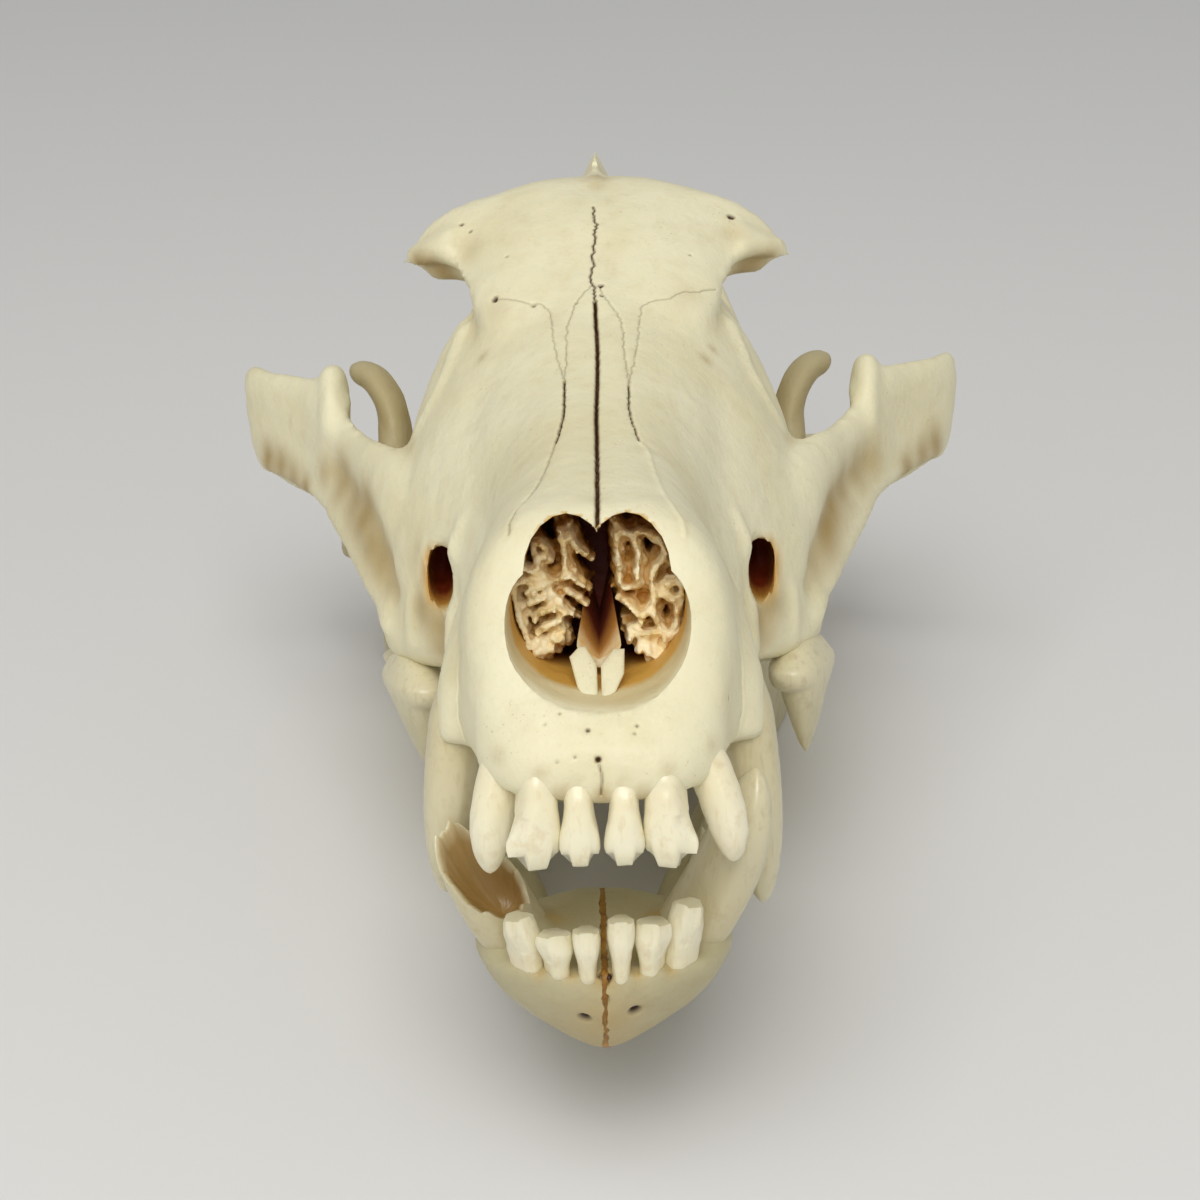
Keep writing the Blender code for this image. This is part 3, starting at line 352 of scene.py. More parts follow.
def both(rings):
    """The rings and their mirror image."""
    return [rings, other_side(rings)]


def skins(forms, name):
    """One object from closed skins: neighbouring rings are joined by quads and both ends are capped."""
    corners, faces, start = [], [], 0
    for rings in forms:
        rows, sides = rings.shape[:2]
        index = start + np.arange(rows * sides).reshape(rows, sides)
        turned = np.roll(index, -1, axis=1)
        quads = np.stack([index[:-1], turned[:-1], turned[1:], index[1:]], axis=-1).reshape(-1, 4)
        faces += quads.tolist() + [index[0, ::-1].tolist(), index[-1].tolist()]
        corners.append(rings.reshape(-1, 3))
        start += rows * sides
    mesh = bpy.data.meshes.new(name)
    mesh.from_pydata(np.concatenate(corners).tolist(), [], faces)
    return outward(mesh, name)


def outward(mesh, name):
    """Object of a closed mesh whose faces are turned outwards."""
    bm = bmesh.new()
    bm.from_mesh(mesh)
    bmesh.ops.recalc_face_normals(bm, faces=bm.faces)
    if bm.calc_volume(signed=True) < 0:
        bmesh.ops.reverse_faces(bm, faces=bm.faces)
    bm.to_mesh(mesh)
    bm.free()
    piece = bpy.data.objects.new(name, mesh)
    bpy.context.scene.collection.objects.link(piece)
    return piece


def settle(piece):
    """Replace a piece's mesh by the one its modifiers give."""
    graph = bpy.context.evaluated_depsgraph_get()
    mesh = bpy.data.meshes.new_from_object(piece.evaluated_get(graph))
    piece.modifiers.clear()
    piece.data = mesh


def merged(pieces, name):
    """One object that holds the meshes of all the pieces, still overlapping."""
    bm = bmesh.new()
    for piece in pieces:
        bm.from_mesh(piece.data)
        bpy.data.objects.remove(piece, do_unlink=True)
    mesh = bpy.data.meshes.new(name)
    bm.to_mesh(mesh)
    bm.free()
    whole = bpy.data.objects.new(name, mesh)
    bpy.context.scene.collection.objects.link(whole)
    return whole


def fuse(piece, grid, rounding):
    """Fuse overlapping skins into one surface on a grid and round where they meet."""
    step = piece.modifiers.new("fuse", "REMESH")
    step.mode = "VOXEL"
    step.voxel_size = grid
    soften = piece.modifiers.new("soften", "SMOOTH")
    soften.factor = 0.5
    soften.iterations = rounding
    settle(piece)


def carve(piece, forms, operation="DIFFERENCE"):
    """Boolean of a piece with a group of closed skins."""
    tool = skins(forms, "tool")
    step = piece.modifiers.new("carve", "BOOLEAN")
    step.object = tool
    step.operation = operation
    step.solver = "MANIFOLD"
    settle(piece)
    bpy.data.objects.remove(tool, do_unlink=True)


SIDEWAYS = (1.0, 0.0, 0.0)
forms = [trunk(SNOUT, 130)]
forms += [trunk(table) for table in (FOREHEAD, BRAINCASE, CREST, OCCIPUT, SKULL_BASE)]
for table in (NUCHAL_CREST, BROW_SPUR, CANINE_JUGUM, JUGULAR_PROCESS):
    forms += both(horn(table))
for table in (PTERYGOID_PLATE, TUBEROSITY):
    forms += both(strap(table))
forms += both(ball(BULLA_CENTRE, BULLA_RADII)) + both(ball(CONDYLE_CENTRE, CONDYLE_RADII))
cranium = skins(forms, "upper_skull")
fuse(cranium, GRID, 0)

for hollow in (both(ball(ORBIT_CENTRE, ORBIT_RADII)), [horn(MAGNUM, along=SIDEWAYS)],
               [horn(CHOANA, along=SIDEWAYS)], both(horn(INFRAORBITAL, along=SIDEWAYS)), both(horn(EAR))):
    carve(cranium, hollow)
arches = skins(both(strap(ARCH, 90)) + both(horn(JUGAL_SPUR)) + both(horn(RETROARTICULAR_PROCESS)),
               "arches")
cranium = merged([cranium, arches], "upper_skull")
fuse(cranium, GRID, 4)


# Seams, pits, stains and painted shade of the upper skull
# The bones meet in fine jagged seams, a slit between the two nasal bones and pits where vessels
# passed. They are pressed into the surface, and dirt has stained them brown.

# paths of the seams, a little off the bone, from which each point is carried to its surface
MIDLINE_SEAM = [(-0.2, 129.0, 80.2), (-0.2, 126.7, 79.1), (0.2, 123.9, 77.4), (-0.2, 119.1, 74.1),
                (-0.4, 114.0, 70.5), (-0.9, 110.7, 68.3), (-0.3, 108.4, 67.0), (-0.1, 104.7, 64.9)]
NASAL_SLIT = [(-0.1, 104.7, 64.9), (0.0, 98.5, 61.5), (0.2, 92.2, 58.7), (0.2, 81.7, 54.6),
              (0.0, 66.5, 49.6), (0.1, 48.6, 45.4), (0.2, 24.1, 41.1), (0.2, 19.0, 40.0),
              (0.1, 17.4, 38.6)]
NASAL_EDGE_RIGHT = [(-0.4, 109.5, 67.4), (-3.1, 105.5, 65.0), (-4.3, 101.4, 62.6), (-5.1, 97.1, 60.4),
                    (-5.1, 90.7, 57.6), (-5.5, 80.4, 53.6)]
NASAL_GAP_RIGHT = [(-5.5, 80.4, 53.6), (-5.4, 68.8, 49.8), (-6.0, 61.6, 47.6), (-6.6, 55.9, 46.0)]
NASAL_FOLD_RIGHT = [(-6.6, 55.9, 46.0), (-7.6, 47.5, 44.0), (-9.2, 35.2, 41.0), (-11.3, 27.1, 38.4),
                    (-12.7, 20.0, 36.4)]
NASAL_EDGE_LEFT = [(0.6, 109.0, 67.2), (1.3, 106.3, 65.6), (2.5, 104.1, 64.2), (3.9, 101.1, 62.4),
                   (4.7, 96.3, 60.0), (4.8, 90.3, 57.4), (5.6, 77.7, 52.8)]
NASAL_GAP_LEFT = [(5.6, 77.7, 52.8), (5.5, 72.4, 51.0), (5.6, 66.7, 49.2), (6.4, 59.2, 46.8),
                  (7.0, 55.0, 45.6)]
NASAL_FOLD_LEFT = [(7.0, 55.0, 45.6), (8.2, 51.3, 44.4), (9.2, 39.0, 41.8), (9.9, 32.4, 40.4),
                   (11.0, 25.0, 38.6), (13.0, 19.0, 36.2)]
BROW_SEAM_RIGHT = [(-18.1, 111.0, 64.1), (-15.9, 110.0, 64.6), (-11.9, 107.0, 64.2),
                   (-9.4, 105.8, 64.4), (-8.2, 102.7, 62.8), (-7.6, 96.4, 59.6), (-6.8, 88.9, 56.4),
                   (-5.6, 80.5, 53.6)]
BROW_SEAM_LEFT = [(21.4, 115.8, 65.0), (18.5, 112.5, 65.0), (14.9, 110.2, 65.0), (13.1, 108.1, 64.4),
                  (8.8, 105.3, 64.2), (7.9, 102.0, 62.4), (7.4, 95.6, 59.2), (6.6, 87.5, 56.0),
                  (5.6, 78.0, 52.9)]
FRONT_SEAM = [(-0.2, -0.4, 6.4), (0.2, -0.2, 4.6), (0.0, -0.2, 2.0)]
PREMAXILLA_SEAM = [(12.9, 24.0, 33.0), (16.5, 26.0, 28.0), (18.4, 25.0, 20.0), (18.6, 23.0, 12.0),
                   (18.4, 20.0, 5.0), (17.4, 19.0, 0.0)]
CORONAL_SEAM = [(0.0, 171.0, 87.0), (6.0, 172.0, 80.0), (14.0, 174.0, 76.0), (20.0, 178.0, 66.0),
                (24.0, 182.0, 52.0), (25.0, 184.0, 38.0)]
PALATE_SEAM = [(0.0, 20.0, 2.5), (0.0, 50.0, 4.0), (0.0, 85.0, 5.0), (0.0, 112.0, 6.0)]

# rows: path, half width, depth, jag, darkness
SEAMS = [
    (MIDLINE_SEAM, 0.24, 0.4, 0.26, 0.65), (NASAL_SLIT, 0.33, 1.1, 0.05, 0.9),
    (NASAL_EDGE_RIGHT, 0.22, 0.25, 0.16, 0.3), (NASAL_EDGE_LEFT, 0.22, 0.25, 0.16, 0.3),
    (NASAL_GAP_RIGHT, 0.24, 0.6, 0.1, 0.7), (NASAL_GAP_LEFT, 0.22, 0.5, 0.1, 0.65),
    (NASAL_FOLD_RIGHT, 0.3, 0.3, 0.1, 0.3), (NASAL_FOLD_LEFT, 0.5, -0.3, 0.1, 0.0),
    (BROW_SEAM_RIGHT, 0.22, 0.25, 0.16, 0.28), (BROW_SEAM_LEFT, 0.22, 0.25, 0.16, 0.28),
    (FRONT_SEAM, 0.24, 0.4, 0.1, 0.4), (PREMAXILLA_SEAM, 0.25, 0.25, 0.25, 0.2),
    (CORONAL_SEAM, 0.3, 0.3, 0.7, 0.5), (PALATE_SEAM, 0.4, 0.4, 0.3, 0.6),
]
MIRRORED_SEAMS = (PREMAXILLA_SEAM, CORONAL_SEAM)

# rows: place, half width, depth, darkness
PITS = [
    ((-24.5, 132.7, 76.6), 0.45, 0.5, 0.6), ((-22.9, 130.3, 75.6), 0.4, 0.5, 0.55),
    ((-15.8, 119.2, 71.4), 0.35, 0.4, 0.4), ((25.0, 133.5, 76.9), 0.7, 0.8, 0.9),
    ((17.0, 119.3, 71.0), 0.35, 0.4, 0.4), ((-18.1, 111.0, 64.8), 0.6, 0.8, 0.8),
    ((-11.0, 106.4, 63.9), 0.5, 0.5, 0.5), ((-3.4, 104.8, 64.4), 0.35, 0.4, 0.4),
    ((1.0, 108.8, 67.2), 0.5, 0.6, 0.8), ((1.1, 106.3, 65.6), 0.4, 0.5, 0.7),
    ((-1.7, 1.9, 10.9), 0.35, 0.5, 0.7), ((5.4, 2.3, 11.4), 0.3, 0.4, 0.5),
    ((-0.3, -0.3, 7.1), 0.45, 0.8, 1.0), ((-5.7, 4.0, 12.8), 0.3, 0.3, 0.4),
    ((-3.6, -0.1, 7.5), 0.3, 0.3, 0.4), ((18.9, 12.8, 12.9), 0.4, 0.4, 0.5),
    ((-7.9, 2.9, 11.7), 0.3, 0.3, 0.3), ((-6.2, -0.3, 6.8), 0.3, 0.3, 0.3),
    ((5.0, 1.6, 10.4), 0.3, 0.3, 0.4),
]

# Broad strokes of relief: path, half width, depth (negative stands proud); each is on both sides.
STROKES = [
    ([(33.6, 134.6, 67.6), (29.4, 131.2, 67.6), (26.0, 128.2, 65.8), (23.6, 122.0, 62.5)], 2.5, 2.2),
    ([(34.5, 136.5, 71.6), (28.4, 130.0, 72.3), (25.4, 127.0, 70.0), (23.4, 122.0, 67.2)], 1.1, -0.7),
    ([(38.0, 100.8, 8.2), (41.0, 109.0, 12.0), (44.4, 116.4, 16.0), (48.0, 126.1, 20.0),
      (52.6, 139.0, 24.0), (59.0, 155.0, 26.4), (66.0, 168.0, 28.0)], 2.2, -1.2),
    ([(50.0, 136.0, 31.0), (46.0, 125.0, 28.4), (42.4, 114.0, 26.0), (39.4, 106.4, 20.0),
      (37.0, 100.0, 14.0)], 3.6, 1.7),
    ([(24.4, 119.0, 58.5), (28.5, 111.8, 48.5), (34.0, 113.0, 41.0), (41.0, 121.0, 38.6),
      (46.0, 134.0, 39.6), (49.0, 146.0, 43.0)], 1.6, -0.8),
    ([(63.0, 164.0, 36.0), (57.0, 152.0, 36.0)], 6.0, 0.7),
    ([(50.5, 139.0, 20.6), (56.0, 151.0, 22.6), (62.0, 161.0, 24.0), (67.0, 171.0, 25.4)], 2.6, 2.0),
    ([(24.0, 77.5, 30.0), (24.6, 79.0, 24.0), (24.8, 79.5, 14.0), (25.4, 80.0, 5.0)], 1.5, -1.2),
    ([(28.4, 83.0, 12.5), (29.0, 84.6, 5.0)], 2.6, 1.3),
    ([(33.5, 92.0, 14.0), (34.4, 92.0, 6.0), (34.6, 92.5, 2.0)], 1.8, -0.8),
    ([(22.5, 92.0, 49.0), (23.5, 80.0, 40.0), (22.6, 62.0, 31.0)], 5.0, 0.9),
    ([(3.2, 1.6, 3.5), (3.2, 3.6, 10.0)], 1.7, -0.45), ([(9.4, 3.0, 4.4), (8.6, 5.6, 11.0)], 2.1, -0.55),
    ([(15.4, 8.4, 5.4), (14.4, 11.4, 12.0)], 2.3, -0.6),
    ([(6.2, 1.6, 1.0), (6.2, 2.6, 5.0)], 1.0, 0.6), ([(12.6, 5.0, 1.6), (12.4, 6.4, 5.6)], 1.0, 0.6),
    ([(0.0, 135.0, 82.0), (0.0, 118.0, 73.0), (0.0, 104.0, 64.0)], 6.0, 0.7),
    ([(0.0, 100.0, 62.0), (0.0, 60.0, 48.0), (0.0, 26.0, 41.5)], 2.6, 0.5),
    ([(0.0, 158.0, 87.0), (0.0, 146.0, 85.6), (0.0, 138.0, 84.6)], 1.3, -0.9),
]

# Tan on the brows, the arches, behind the muzzle and round the sockets of the front teeth. Under the
# brow spurs and along the lower edges of the arches it is painted shade; elsewhere it is stain.
# rows: place, reach, strength
STAINS_AND_SHADE = [
    ((-32.8, 133.1, 69.6), 2.6, 0.95), ((-30.5, 131.4, 69.0), 2.6, 0.95), ((-28.4, 132.8, 68.0), 2.6, 0.95),
    ((-26.6, 133.4, 66.4), 2.6, 0.8), ((31.7, 132.8, 69.0), 2.6, 0.95), ((29.3, 133.3, 68.2), 2.6, 0.95),
    ((27.4, 132.6, 67.0), 2.6, 0.9), ((0.5, 140.4, 84.7), 2.4, 0.7), ((0.2, 136.6, 83.6), 1.8, 0.5),
    ((-65.8, 164.7, 30.0), 3.6, 0.95), ((-63.0, 159.7, 28.8), 3.6, 0.95), ((-59.9, 154.1, 27.4), 3.4, 0.95),
    ((-57.0, 148.7, 26.0), 3.0, 0.9), ((65.8, 164.7, 30.0), 3.6, 0.95), ((63.0, 159.7, 28.8), 3.4, 0.95),
    ((59.0, 153.0, 27.0), 3.2, 0.9), ((-52.2, 140.1, 30.4), 3.6, 0.5), ((-48.8, 133.5, 28.6), 4.4, 0.75),
    ((-45.9, 125.2, 26.4), 4.8, 0.8), ((-43.6, 118.8, 24.3), 4.8, 0.85), ((-41.4, 112.3, 20.7), 4.8, 0.85),
    ((-38.8, 108.0, 18.0), 4.2, 0.75), ((-37.3, 103.9, 14.8), 3.4, 0.55), ((-41.9, 116.9, 28.0), 4.4, 0.6),
    ((-47.7, 133.1, 32.4), 4.0, 0.5), ((50.7, 138.4, 31.1), 4.4, 0.55), ((47.4, 132.6, 29.7), 4.6, 0.7),
    ((43.9, 122.9, 28.4), 4.8, 0.8), ((41.9, 116.7, 25.6), 4.8, 0.85), ((40.3, 112.4, 22.5), 4.6, 0.85),
    ((41.1, 111.3, 19.1), 4.2, 0.75), ((38.1, 106.6, 16.2), 3.8, 0.6), ((-30.5, 88.0, 13.4), 3.6, 0.8),
    ((-28.0, 84.7, 10.6), 3.6, 0.9), ((-28.8, 84.4, 6.6), 3.2, 0.8), ((-30.4, 92.0, 22.0), 3.6, 0.4),
    ((27.4, 82.3, 11.4), 3.8, 0.8), ((29.8, 86.2, 13.4), 3.6, 0.75), ((28.8, 84.4, 7.0), 3.0, 0.6),
    ((-8.7, -0.3, 5.2), 1.3, 0.4), ((-5.8, -0.2, 2.2), 1.4, 0.7), ((-3.4, -1.2, 3.9), 1.1, 0.35),
    ((0.2, -0.2, 1.8), 1.5, 0.8), ((3.3, -1.0, 4.2), 1.1, 0.35), ((5.9, -0.3, 2.0), 1.4, 0.7),
    ((9.7, -0.1, 5.4), 1.3, 0.4), ((-14.6, 3.6, 7.2), 1.3, 0.35), ((16.4, 4.9, 7.6), 1.3, 0.35),
    ((-22.8, 126.1, 72.4), 3.0, 0.35), ((25.5, 129.2, 73.9), 3.0, 0.35), ((-20.0, 104.0, 54.8), 1.3, 0.55),
    ((18.8, 100.5, 54.0), 1.5, 0.55), ((20.2, 105.2, 55.3), 1.2, 0.5), ((-18.0, 109.0, 63.0), 3.0, 0.25),
    ((16.0, 110.0, 65.0), 3.0, 0.2),
]


def coordinates(piece):
    """All corners of a piece as an array."""
    flat = np.empty(len(piece.data.vertices) * 3)
    piece.data.vertices.foreach_get("co", flat)
    return flat.reshape(-1, 3)


def facing(piece):
    """The outward direction at each corner of a piece."""
    flat = np.empty(len(piece.data.vertices) * 3)
    piece.data.vertices.foreach_get("normal", flat)
    return flat.reshape(-1, 3)


def reshape(piece, points):
    """Give a piece new corner places."""
    piece.data.vertices.foreach_set("co", points.ravel())
    piece.data.update()


def jagged(path, jag, seed):
    """A path carried on to steps of about half a millimetre and thrown sideways by random teeth and a
    slow sine."""
    rows = stations(path, max(2, 6 * len(path)))
    length = np.concatenate([[0], np.cumsum(np.linalg.norm(np.diff(rows, axis=0), axis=1))])
    even = np.linspace(0, length[-1], max(3, int(length[-1] / 0.55)))
    fine = np.stack([np.interp(even, length, rows[:, i]) for i in range(3)], axis=-1)
    draw = np.random.default_rng(seed)
    throw = draw.uniform(-1, 1, len(fine)) * jag + np.sin(even * 1.7 + seed) * jag * 0.5
    run = np.gradient(fine, axis=0)
    sideways = np.stack([run[:, 1], -run[:, 0], 0 * run[:, 0]], axis=-1)
    sideways /= np.maximum(np.linalg.norm(sideways, axis=1, keepdims=True), 1e-6)
    return fine + sideways * throw[:, None]


def path_distance(points, path, reach):
    """Distance from each point to the nearest stretch of a path, or `reach` where it is farther."""
    result = np.full(len(points), float(reach))
    inside = np.all((points > path.min(axis=0) - reach) & (points < path.max(axis=0) + reach), axis=1)
    near = np.flatnonzero(inside)
    start, run = path[:-1], np.diff(path, axis=0)
    size = np.maximum((run**2).sum(axis=1), 1e-9)
    for block in np.array_split(near, max(1, len(near) // 4000)):
        gap = points[block, None] - start
        share = np.clip((gap * run).sum(axis=-1) / size, 0, 1)
        result[block] = np.minimum(reach, np.linalg.norm(gap - share[..., None] * run, axis=-1).min(axis=1))
    return result


def refine(piece, near, times=1):
    """Halve the edges of a piece where near(points) is true."""
    for _ in range(times):
        bm = bmesh.new()
        bm.from_mesh(piece.data)
        wanted = near(coordinates(piece))
        edges = [edge for edge in bm.edges if wanted[edge.verts[0].index] or wanted[edge.verts[1].index]]
        bmesh.ops.subdivide_edges(bm, edges=edges, cuts=1, use_grid_fill=True)
        bmesh.ops.triangulate(bm, faces=[face for face in bm.faces if len(face.verts) > 4])
        bm.to_mesh(piece.data)
        bm.free()


def ripple(points, size, seed):
    """Soft lumps about `size` mm across: the mean of sine waves that run in random directions."""
    draw = np.random.default_rng(seed)
    heading = draw.normal(size=(14, 3))
    heading /= np.linalg.norm(heading, axis=1, keepdims=True)
    phase = draw.uniform(0, 2 * np.pi, 14)
    return np.sin(points @ heading.T * (2 * np.pi / size) + phase).mean(axis=1) * 2.6


def keep_attribute(piece, name, values):
    """Store one number for each corner, for the materials to read."""
    layer = piece.data.attributes.get(name) or piece.data.attributes.new(name, "FLOAT", "POINT")
    layer.data.foreach_set("value", np.clip(values, 0, 1).astype(np.float32))


def hollows(piece, reach):
    """How far each corner lies below its neighbourhood: its distance behind the place that
    repeated averaging with its neighbours moves it to, in millimetres."""
    points, outward_way = coordinates(piece), facing(piece)
    pairs = np.empty(len(piece.data.edges) * 2, dtype=np.int64)
    piece.data.edges.foreach_get("vertices", pairs)
    a, b = pairs.reshape(-1, 2).T
    corners = len(points)
    count = np.bincount(a, minlength=corners) + np.bincount(b, minlength=corners)
    moved = points.copy()
    for _ in range(reach):
        total = np.stack([np.bincount(a, moved[b, i], corners) + np.bincount(b, moved[a, i], corners)
                          for i in range(3)], axis=-1)
        moved = 0.4 * moved + 0.6 * total / np.maximum(count, 1)[:, None]
    return ((moved - points) * outward_way).sum(axis=1)


def on_surface(piece, paths):
    """Carry the points of each path to the nearest places on a piece's surface."""
    faces = [tuple(face.vertices) for face in piece.data.polygons]
    tree = BVHTree.FromPolygons(coordinates(piece).tolist(), faces)
    return [np.array([tree.find_nearest(point)[0] for point in path]) for path in paths]


seam_paths = []
for seed, (path, width, depth, jag, dark) in enumerate(SEAMS):
    fine = jagged(path, jag, seed)
    seam_paths.append((fine, width, depth, dark))
    if any(path is mirrored for mirrored in MIRRORED_SEAMS):
        seam_paths.append((other_side(fine), width, depth, dark))


def near_features(paths, pits, reach):
    """A test that is true within `reach` mm of a seam or of a pit's rim."""
    def test(points):
        close = np.zeros(len(points), dtype=bool)
        for path, *look in paths:
            close |= path_distance(points, path, reach + 0.1) < reach
        for place, width, *look in pits:
            close |= np.linalg.norm(points - np.array(place), axis=1) < reach + width
        return close
    return test


def sculpt(piece, strokes):
    """Press broad strokes of relief into a bone, each on both sides of the midline: the depth falls
    with the square of the distance from the stroke's path, as a bell curve."""
    points, outward_way = coordinates(piece), facing(piece)
    press = np.zeros(len(points))
    for path, width, depth in strokes:
        line = stations(path, 6 * len(path))
        reach = width * 3
        away = np.minimum(path_distance(points, line, reach), path_distance(points, other_side(line), reach))
        press += depth * (np.exp(-(away / width) ** 2) - np.exp(-9.0))
    reshape(piece, points - outward_way * press[:, None])


def bone_surface(piece, paths, pits, stain_and_shade_spots):
    """Press the seams and pits into a bone as bell curves of the distance, ripple it slightly, and
    store its dirt, its tan spots of stain and of painted shade, and its hollows, which the finish
    paints partly as shade. Spots that overlap join without growing darker than one."""
    points, outward_way = coordinates(piece), facing(piece)
    press = -0.16 * ripple(points, 16.0, 3) - 0.06 * ripple(points, 5.0, 4)
    crack = np.zeros(len(points))
    for path, width, depth, dark in paths:
        near = np.exp(-(path_distance(points, path, width * 4) / width) ** 2)
        press += depth * near
        crack = np.maximum(crack, dark * near)
    for place, width, depth, dark in pits:
        near = np.exp(-(np.linalg.norm(points - np.array(place), axis=1) / width) ** 2)
        press += depth * near
        crack = np.maximum(crack, dark * near)
    unmarked = np.ones(len(points))
    lumps = np.clip(0.95 + 0.2 * ripple(points, 9.0, 5), 0.8, 1.1)
    # tan spots from the table: stains, and on the skull also painted shade under the brows and arches
    for place, reach, strength in stain_and_shade_spots:
        near = np.exp(-(np.linalg.norm(points - np.array(place), axis=1) / reach) ** 2)
        unmarked *= 1 - strength * near
    reshape(piece, points - outward_way * press[:, None])
    keep_attribute(piece, "crack", crack)
    keep_attribute(piece, "stain_and_shade", (1 - unmarked) * lumps)
    # how sunken each corner is: the finish turns it into tan that is partly dirt and partly painted shade,
    # and lightens the ridges as painted light
    hollow = hollows(piece, 26)
    keep_attribute(piece, "hollow", 0.35 + hollow / 1.6)


sculpt(cranium, STROKES)
carve(cranium, [trunk(NOSE_HOLE)])
for arc in both(horn(NOSE_ARCH, along=SIDEWAYS)):
    carve(cranium, [arc])
seam_places = on_surface(cranium, [path for path, *look in seam_paths])
seam_paths = [(place, *look) for place, (path, *look) in zip(seam_places, seam_paths)]
pit_places = on_surface(cranium, [[place] for place, *look in PITS])
skull_pits = [(place[0], *look) for place, (given, *look) in zip(pit_places, PITS)]
for reach in (1.1, 0.6):
    refine(cranium, near_features(seam_paths, skull_pits, reach))
bone_surface(cranium, seam_paths, skull_pits, STAINS_AND_SHADE)

NOSE_MIDDLE = (0.0, 27.0)
NOSE_HALF_WIDTH = 15.0
NOSE_FLOOR_Z = 12.6
NOSE_ROOF_Z = 41.0
NOSE_END_Y = 60.0
# the rim of the nose stays pale back to these places, at these heights
PALE_HEIGHTS = (13.0, 18.0, 27.0, 33.0, 38.0)
PALE_UNTIL_Y = (10.6, 14.6, 17.6, 17.6, 17.0)
SHADE_FROM_Y = 24.0
SHADE_OVER = 14.0
CHEEK_HOLE = (27.6, 96.0, 19.0)
CHEEK_HOLE_RADII = (3.6, 14.0, 7.4)

# `cavity` and `depth` tell how far inside the nose or a cheek opening each corner lies; the finish colours
# the inside ochre by `cavity` and paints red-brown shade by `depth`
spots = coordinates(cranium)
facing_in = ((spots[:, [0, 2]] - NOSE_MIDDLE) * facing(cranium)[:, [0, 2]]).sum(axis=1) < 0.0
in_nose = ((np.abs(spots[:, 0]) < NOSE_HALF_WIDTH) & (spots[:, 1] < NOSE_END_Y)
           & (spots[:, 2] > NOSE_FLOOR_Z) & (spots[:, 2] < NOSE_ROOF_Z) & facing_in)
pale_until = np.interp(spots[:, 2], PALE_HEIGHTS, PALE_UNTIL_Y)
cavity = in_nose * np.clip((spots[:, 1] - pale_until) / 2.0, 0, 1)
# painted shade: farther into the nose the bone turns red-brown
depth = cavity * np.clip((spots[:, 1] - SHADE_FROM_Y) / SHADE_OVER, 0, 1)
for side in (1, -1):
    cheek_hole = np.linalg.norm((spots - np.array(CHEEK_HOLE) * (side, 1, 1)) / CHEEK_HOLE_RADII, axis=1)
    cavity = np.maximum(cavity, np.clip(4.0 - 3.4 * cheek_hole, 0, 1))
    # painted shade inside the opening under each orbit
    depth = np.maximum(depth, np.clip(2.3 - 2.3 * cheek_hole, 0, 1))
keep_attribute(cranium, "cavity", cavity)
keep_attribute(cranium, "depth", depth)


def linear(code):
    """An sRGB hex colour as linear light."""
    parts = [int(code[i:i + 2], 16) / 255 for i in (0, 2, 4)]
    return tuple(c / 12.92 if c <= 0.04045 else ((c + 0.055) / 1.055) ** 2.4 for c in parts) + (1.0,)


def add(tree, kind, settings=None, inputs=None):
    """Add a node, set its properties, then set each input or link it to a socket."""
    made = tree.nodes.new(kind)
    for key, value in (settings or {}).items():
        setattr(made, key, value)
    for key, value in (inputs or {}).items():
        if isinstance(value, bpy.types.NodeSocket):
            tree.links.new(value, made.inputs[key])
        else:
            made.inputs[key].default_value = value
    return made


def layer_colours(tree, base, layers):
    """Lay colours over a base, one after another. A layer has the value that drives its share, the two
    values of that between which the share grows from nothing to its most, the most, and its colour."""
    colour = linear(base)
    for driver, low, high, most, tint in layers:
        share = add(tree, "ShaderNodeMapRange", inputs={0: driver, 1: low, 2: high, 4: most}).outputs[0]
        # sockets 6, 7 and output 2 are the colour ones of the Mix node
        colour = add(tree, "ShaderNodeMix", {"data_type": "RGBA"},
                     {0: share, 6: colour, 7: linear(tint)}).outputs[2]
    return colour


# Patterns of dry bone: the size of the lumps in mm, detail, roughness, distortion. Real pores are
# about 0.2 mm wide, which is too fine to show, so they are drawn at about half a millimetre.
BONE_PATTERNS = {
    "clouds": (26.0, 3.0, 0.55, 0.4),
    "mottle": (4.5, 5.0, 0.65, 0.0),
    "grain": (1.0, 5.0, 0.65, 0.0),
    "pores": (0.55, 2.0, 0.5, 0.0),
    "porous areas": (9.0, 2.0, 0.5, 0.0),
    "polish": (7.0, 3.0, 0.6, 0.0),
    "lumps": (3.2, 3.0, 0.55, 0.0),
}
GRAIN_STRETCH = (1.0, 0.6, 1.0)


